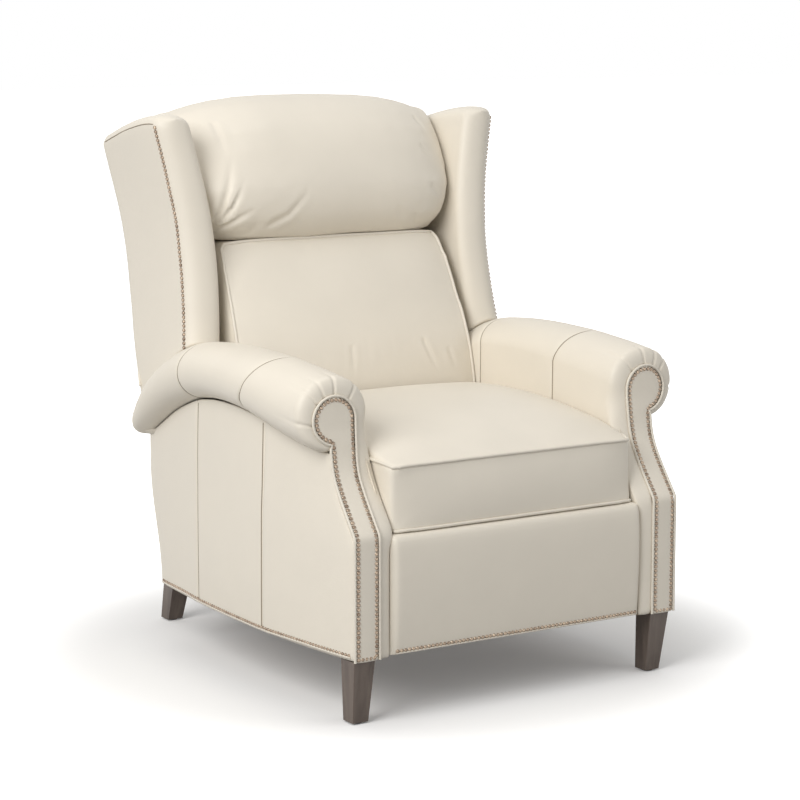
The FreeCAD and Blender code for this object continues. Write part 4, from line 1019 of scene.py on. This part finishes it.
def pillow_rows():
    rows = []
    places = [-1.0, -0.97, -0.93, -0.86, -0.76, -0.62, -0.45, -0.22, 0.0]
    places += [-p for p in reversed(places[:-1])]
    for p in places:
        end = abs(p)
        top = pillow_top - 0.006 * end ** 2 - 0.036 * end ** 3.2
        pull, pull_up = 0.046 * end ** 7, 0.072 * end ** 5
        rise = [(z - brow_z) / 0.221 for z in (0.945, 0.985, 1.025, 1.062, 1.094, 1.118)]
        levels = [brow_z + (top - brow_z) * share for share in rise]
        ring = [(0.722, 0.833), (0.690 + pull, 0.833), (0.662 + pull, 0.845), (0.645 + pull, 0.87),
                (0.638 + pull, brow_z), (0.642 + pull, levels[0]),
                (0.655 + mix(pull, pull_up, 0.4), levels[1]),
                (0.672 + mix(pull, pull_up, 0.8), levels[2]), (0.697 + pull_up, levels[3]),
                (0.735 + pull_up * 0.8, levels[4]), (0.78 + pull_up * 0.5, levels[5]), (0.84, top),
                (0.88, top - 0.012), (0.925, top - 0.034), (0.949, 1.045), (0.948, 1.040),
                (0.90, 1.040), (back_plane(1.04, -0.036), 1.040),
                (back_plane(0.95, -0.036), 0.95), (back_plane(0.86, -0.036), 0.86)]
        row = []
        for y, z in ring:
            reach = min(along(wing_outer, z) - wing_thick - 0.001, 0.325)
            reach -= 0.018 * step(0.90, 0.832, z) ** 1.5
            row.append((p * reach, y, z))
        rows.append(row)
    return rows


def pillow_held(x, y, z):
    rear = step(0.86, 0.90, y) + step(0.06, 0.02, back_plane(z, -0.036) - y) * step(1.03, 0.99, z)
    return min(1.0, rear + 0.7 * step(0.295, 0.315, abs(x)) + step(0.842, 0.836, z))


head_pillow = swollen(remeshed(skin("head_pillow_cover", pillow_rows())), pillow_held,
                      0.006, 0.012)
finer(head_pillow)
settle(head_pillow, 0.0022, 8.0, 9.0)
fan = (-0.282, 0.850)
drawn_in(head_pillow, [([fan, (-0.258, 0.93), (-0.229, 1.019)], 0.0040, 0.006),
                       ([fan, (-0.245, 0.91), (-0.213, 0.969)], 0.0038, 0.0055),
                       ([fan, (-0.230, 0.885), (-0.185, 0.908)], 0.0030, 0.0055),
                       ([(-0.175, 0.858), (-0.122, 0.885), (-0.085, 0.925), (-0.069, 0.955)],
                        0.0026, 0.006),
                       ([(0.223, 1.018), (0.257, 0.991)], 0.0014, 0.007),
                       ([(0.228, 0.936), (0.252, 0.915), (0.270, 0.880)], 0.0016, 0.007),
                       ([(-0.242, 1.079), (-0.246, 1.0)], 0.0022, 0.006),
                       ([(0.245, 1.075), (0.270, 1.035)], 0.0018, 0.006)])
dress(head_pillow, "back", leather("pillow_leather"), ["head_pillow"], 0)

# Outside back: a hide panel over the back's frame, wide between the wings' rear edges and
# narrow between the arms, with a welt along its edges.


def outside_edge(z):
    """Half width and depth of the outside back at a height."""
    half = 0.2765 if z < 0.527 else along([(0.52, 0.390), (0.6, 0.3795)] + wing_outer[1:], z) - 0.001
    rear = along([(0.30, 0.801), (0.505, 0.808)] + [(h, d + 0.012) for h, d in wing_far[1:]], z)
    over = min(max(1.0385 - z, 0.0) / 0.022, 1.0)
    return half - 0.034 * (1 - rounded(over, 2.4)), rear


def outside_rows():
    rows = []
    heights = [0.301, 0.306, 0.35, 0.42, 0.48, 0.515, 0.5265, 0.5275, 0.54, 0.58]
    heights += spread(0.62, 1.0, 12) + [1.015, 1.023, 1.029, 1.033, 1.036, 1.0375]
    for z in heights:
        half, rear = outside_edge(z)
        ring = []
        for j in range(17):
            s = j / 8 - 1
            edge = 0.005 * max(0.0, abs(s) - 0.97) / 0.03
            ring.append((half * s, rear - edge - 0.001 + 0.0015 * (1 - s * s), z))
        ring += [(half * s, rear - 0.0115, z) for s in (1.0, 0.5, 0.0, -0.5, -1.0)]
        rows.append(ring)
    return rows


outside_cover = skin("outside_back_cover", outside_rows())
dress(outside_cover, "back", leather("outside_leather"), ["outside_back"], 1)
outside_rim = [(outside_edge(z)[0] + 0.0005, outside_edge(z)[1] - 0.0105, z)
               for z in spread(0.535, 1.01, 40) + spread(1.013, 1.0375, 12)]
outside_rim += [(mix(outside_rim[-1][0], -outside_rim[-1][0], i / 40), outside_rim[-1][1], 1.0385)
                for i in range(1, 40)] + [(-x, y, z) for x, y, z in reversed(outside_rim)]
corded("outside_back_welt", "back", 0.0030, [(outside_rim, False)])

# Rear of the base: a padded box over the rear rails, covered in the same hide, with soft
# corners and a slightly crowned top.


def rear_box_rows():
    rows = []
    levels = [(0.1245, 0.0), (0.127, 0.0), (0.15, -0.001), (0.20, -0.0015), (0.24, -0.001),
              (0.252, 0.001), (0.260, 0.005), (0.2645, 0.014), (0.266, 0.03)]
    for z, inset in levels:
        ring = []
        for i in range(48):
            turn = 2 * math.pi * i / 48
            c, s = math.cos(turn), math.sin(turn)
            x = (0.2615 - inset) * math.copysign(abs(c) ** 0.16, c)
            y = 0.875 + (0.0595 - inset) * math.copysign(abs(s) ** 0.22, s)
            ring.append((x, y, z))
        rows.append(ring)
    return rows


rear_cover = skin("rear_box_cover", rear_box_rows())
dress(rear_cover, "base", leather("rear_leather"), ["base_rear_cover"], 1)


# Legs: square tapered hardwood feet in a grey-brown finish, their edges eased, each bolted up
# into the frame and standing on a plastic glide.
def timber(name, light, dark, grain, roughness):
    """Wood with long grain along Z, darker streaks and a low satin sheen."""
    paint, tree, shader, place = fresh_paint(name)
    stretch = node(tree, "Mapping", {"Vector": place, "Scale": grain})
    streaks = node(tree, "TexNoise", {"Vector": stretch.outputs["Vector"], "Scale": 9.0,
                                      "Detail": 6.0, "Distortion": 0.6}).outputs["Fac"]
    relief = node(tree, "Bump", {"Strength": 0.2, "Distance": 0.0005, "Height": streaks})
    plug(tree, shader, {"Base Color": ramp(tree, streaks, dark, light, 0.32, 0.68),
                        "Roughness": roughness, "Normal": relief.outputs["Normal"]})
    return paint


leg_finish = timber("leg_finish", (0.150, 0.116, 0.095), (0.085, 0.063, 0.051), (6.0, 6.0, 0.7), 0.42)
for spot in ("front_leg_left", "front_leg_right", "rear_leg_left", "rear_leg_right"):
    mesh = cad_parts[spot].data.copy()
    work = bmesh.new()
    work.from_mesh(mesh)
    bmesh.ops.remove_doubles(work, verts=work.verts, dist=1e-5)
    bmesh.ops.dissolve_limit(work, angle_limit=math.radians(2), verts=work.verts, edges=work.edges)
    work.to_mesh(mesh)
    work.free()
    foot = placed("turned_" + spot, mesh)
    mesh.materials.clear()
    mesh.materials.append(leg_finish)
    eased = foot.modifiers.new("eased_edges", "BEVEL")
    eased.width, eased.segments = 0.0016, 2
    eased.limit_method, eased.angle_limit = "ANGLE", math.radians(35)
    eased.harden_normals = False
    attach(foot, "base")
    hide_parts(spot)


def finished(paint, *spots):
    """Puts a finish on CAD pieces that stay as they are."""
    for spot in spots:
        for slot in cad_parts[spot].material_slots:
            slot.link = "OBJECT"
            slot.material = paint


# Frame: kiln-dried hardwood rails and posts with plywood sides, glued and screwed, left bare
# under the covers.
bare_hardwood = timber("bare_hardwood", (0.56, 0.40, 0.24), (0.40, 0.26, 0.14), (5.0, 0.8, 5.0), 0.62)
plywood = timber("plywood", (0.62, 0.47, 0.30), (0.47, 0.33, 0.19), (8.0, 1.2, 1.2), 0.66)
finished(bare_hardwood, "arm_top_rails", "arm_bottom_rails", "arm_rear_posts", "arm_corner_posts",
         "base_cross_rails", "base_rear_side_rails", "base_rear_rail", "back_posts",
         "back_top_rail", "back_lumbar_rail", "back_bottom_rail", "wing_rails",
         "seat_side_boards", "seat_cross_boards")
finished(plywood, "arm_side_boards", "arm_front_boards", "wing_boards", "back_side_panels",
         "footrest_board")


# Mechanism: pressed steel plates, links and brackets in a black satin coat, on zinc-plated
# pins and bolts, with coil and zigzag springs of drawn wire.
black_coat = metal("black_coat", (0.028, 0.0288, 0.0304), (0.04025, 0.0414, 0.0437), 0.0, (0.35, 0.5), 60.0)
zinc = metal("zinc", (0.496, 0.504, 0.512), (0.713, 0.7245, 0.736), 1.0, (0.26, 0.44), 90.0)
finished(black_coat, "mechanism_plates", "seat_guides", "seat_runners", "rear_link_left",
         "rear_link_right", "front_link_left", "front_link_right", "footrest_brackets",
         "drive_tube", "back_brackets")
finished(zinc, "leg_bolts", "mechanism_bolts", "plate_pivot_pins", "link_pivot_pins",
         "footrest_pivot_pins", "seat_springs", "back_springs")
glide_plastic = metal("glide_plastic", (0.04, 0.0384, 0.036), (0.0575, 0.0552, 0.05175), 0.0,
                      (0.5, 0.65), 40.0)
finished(glide_plastic, "leg_glides")


# Seat deck: a cloth woven of thick yarn, laid over the springs and the seat's boards, under
# the seat cushion.
def woven(name, colour):
    """Plain weave of a thick yarn, made of two crossed waves."""
    paint, tree, shader, place = fresh_paint(name)
    yarns = [node(tree, "TexWave", {"Vector": place, "Scale": 160.0}, bands_direction=way)
             for way in ("X", "Y")]
    cross = node(tree, "Math", {i: yarn.outputs["Fac"] for i, yarn in enumerate(yarns)},
                 operation="MULTIPLY").outputs[0]
    relief = node(tree, "Bump", {"Strength": 0.5, "Distance": 0.0006, "Height": cross})
    plug(tree, shader, {"Base Color": ramp(tree, cross, [c * 0.7 for c in colour], colour),
                        "Roughness": 0.85, "Normal": relief.outputs["Normal"]})
    return paint


finished(woven("deck_cloth", (0.42, 0.38, 0.32)), "seat_deck")
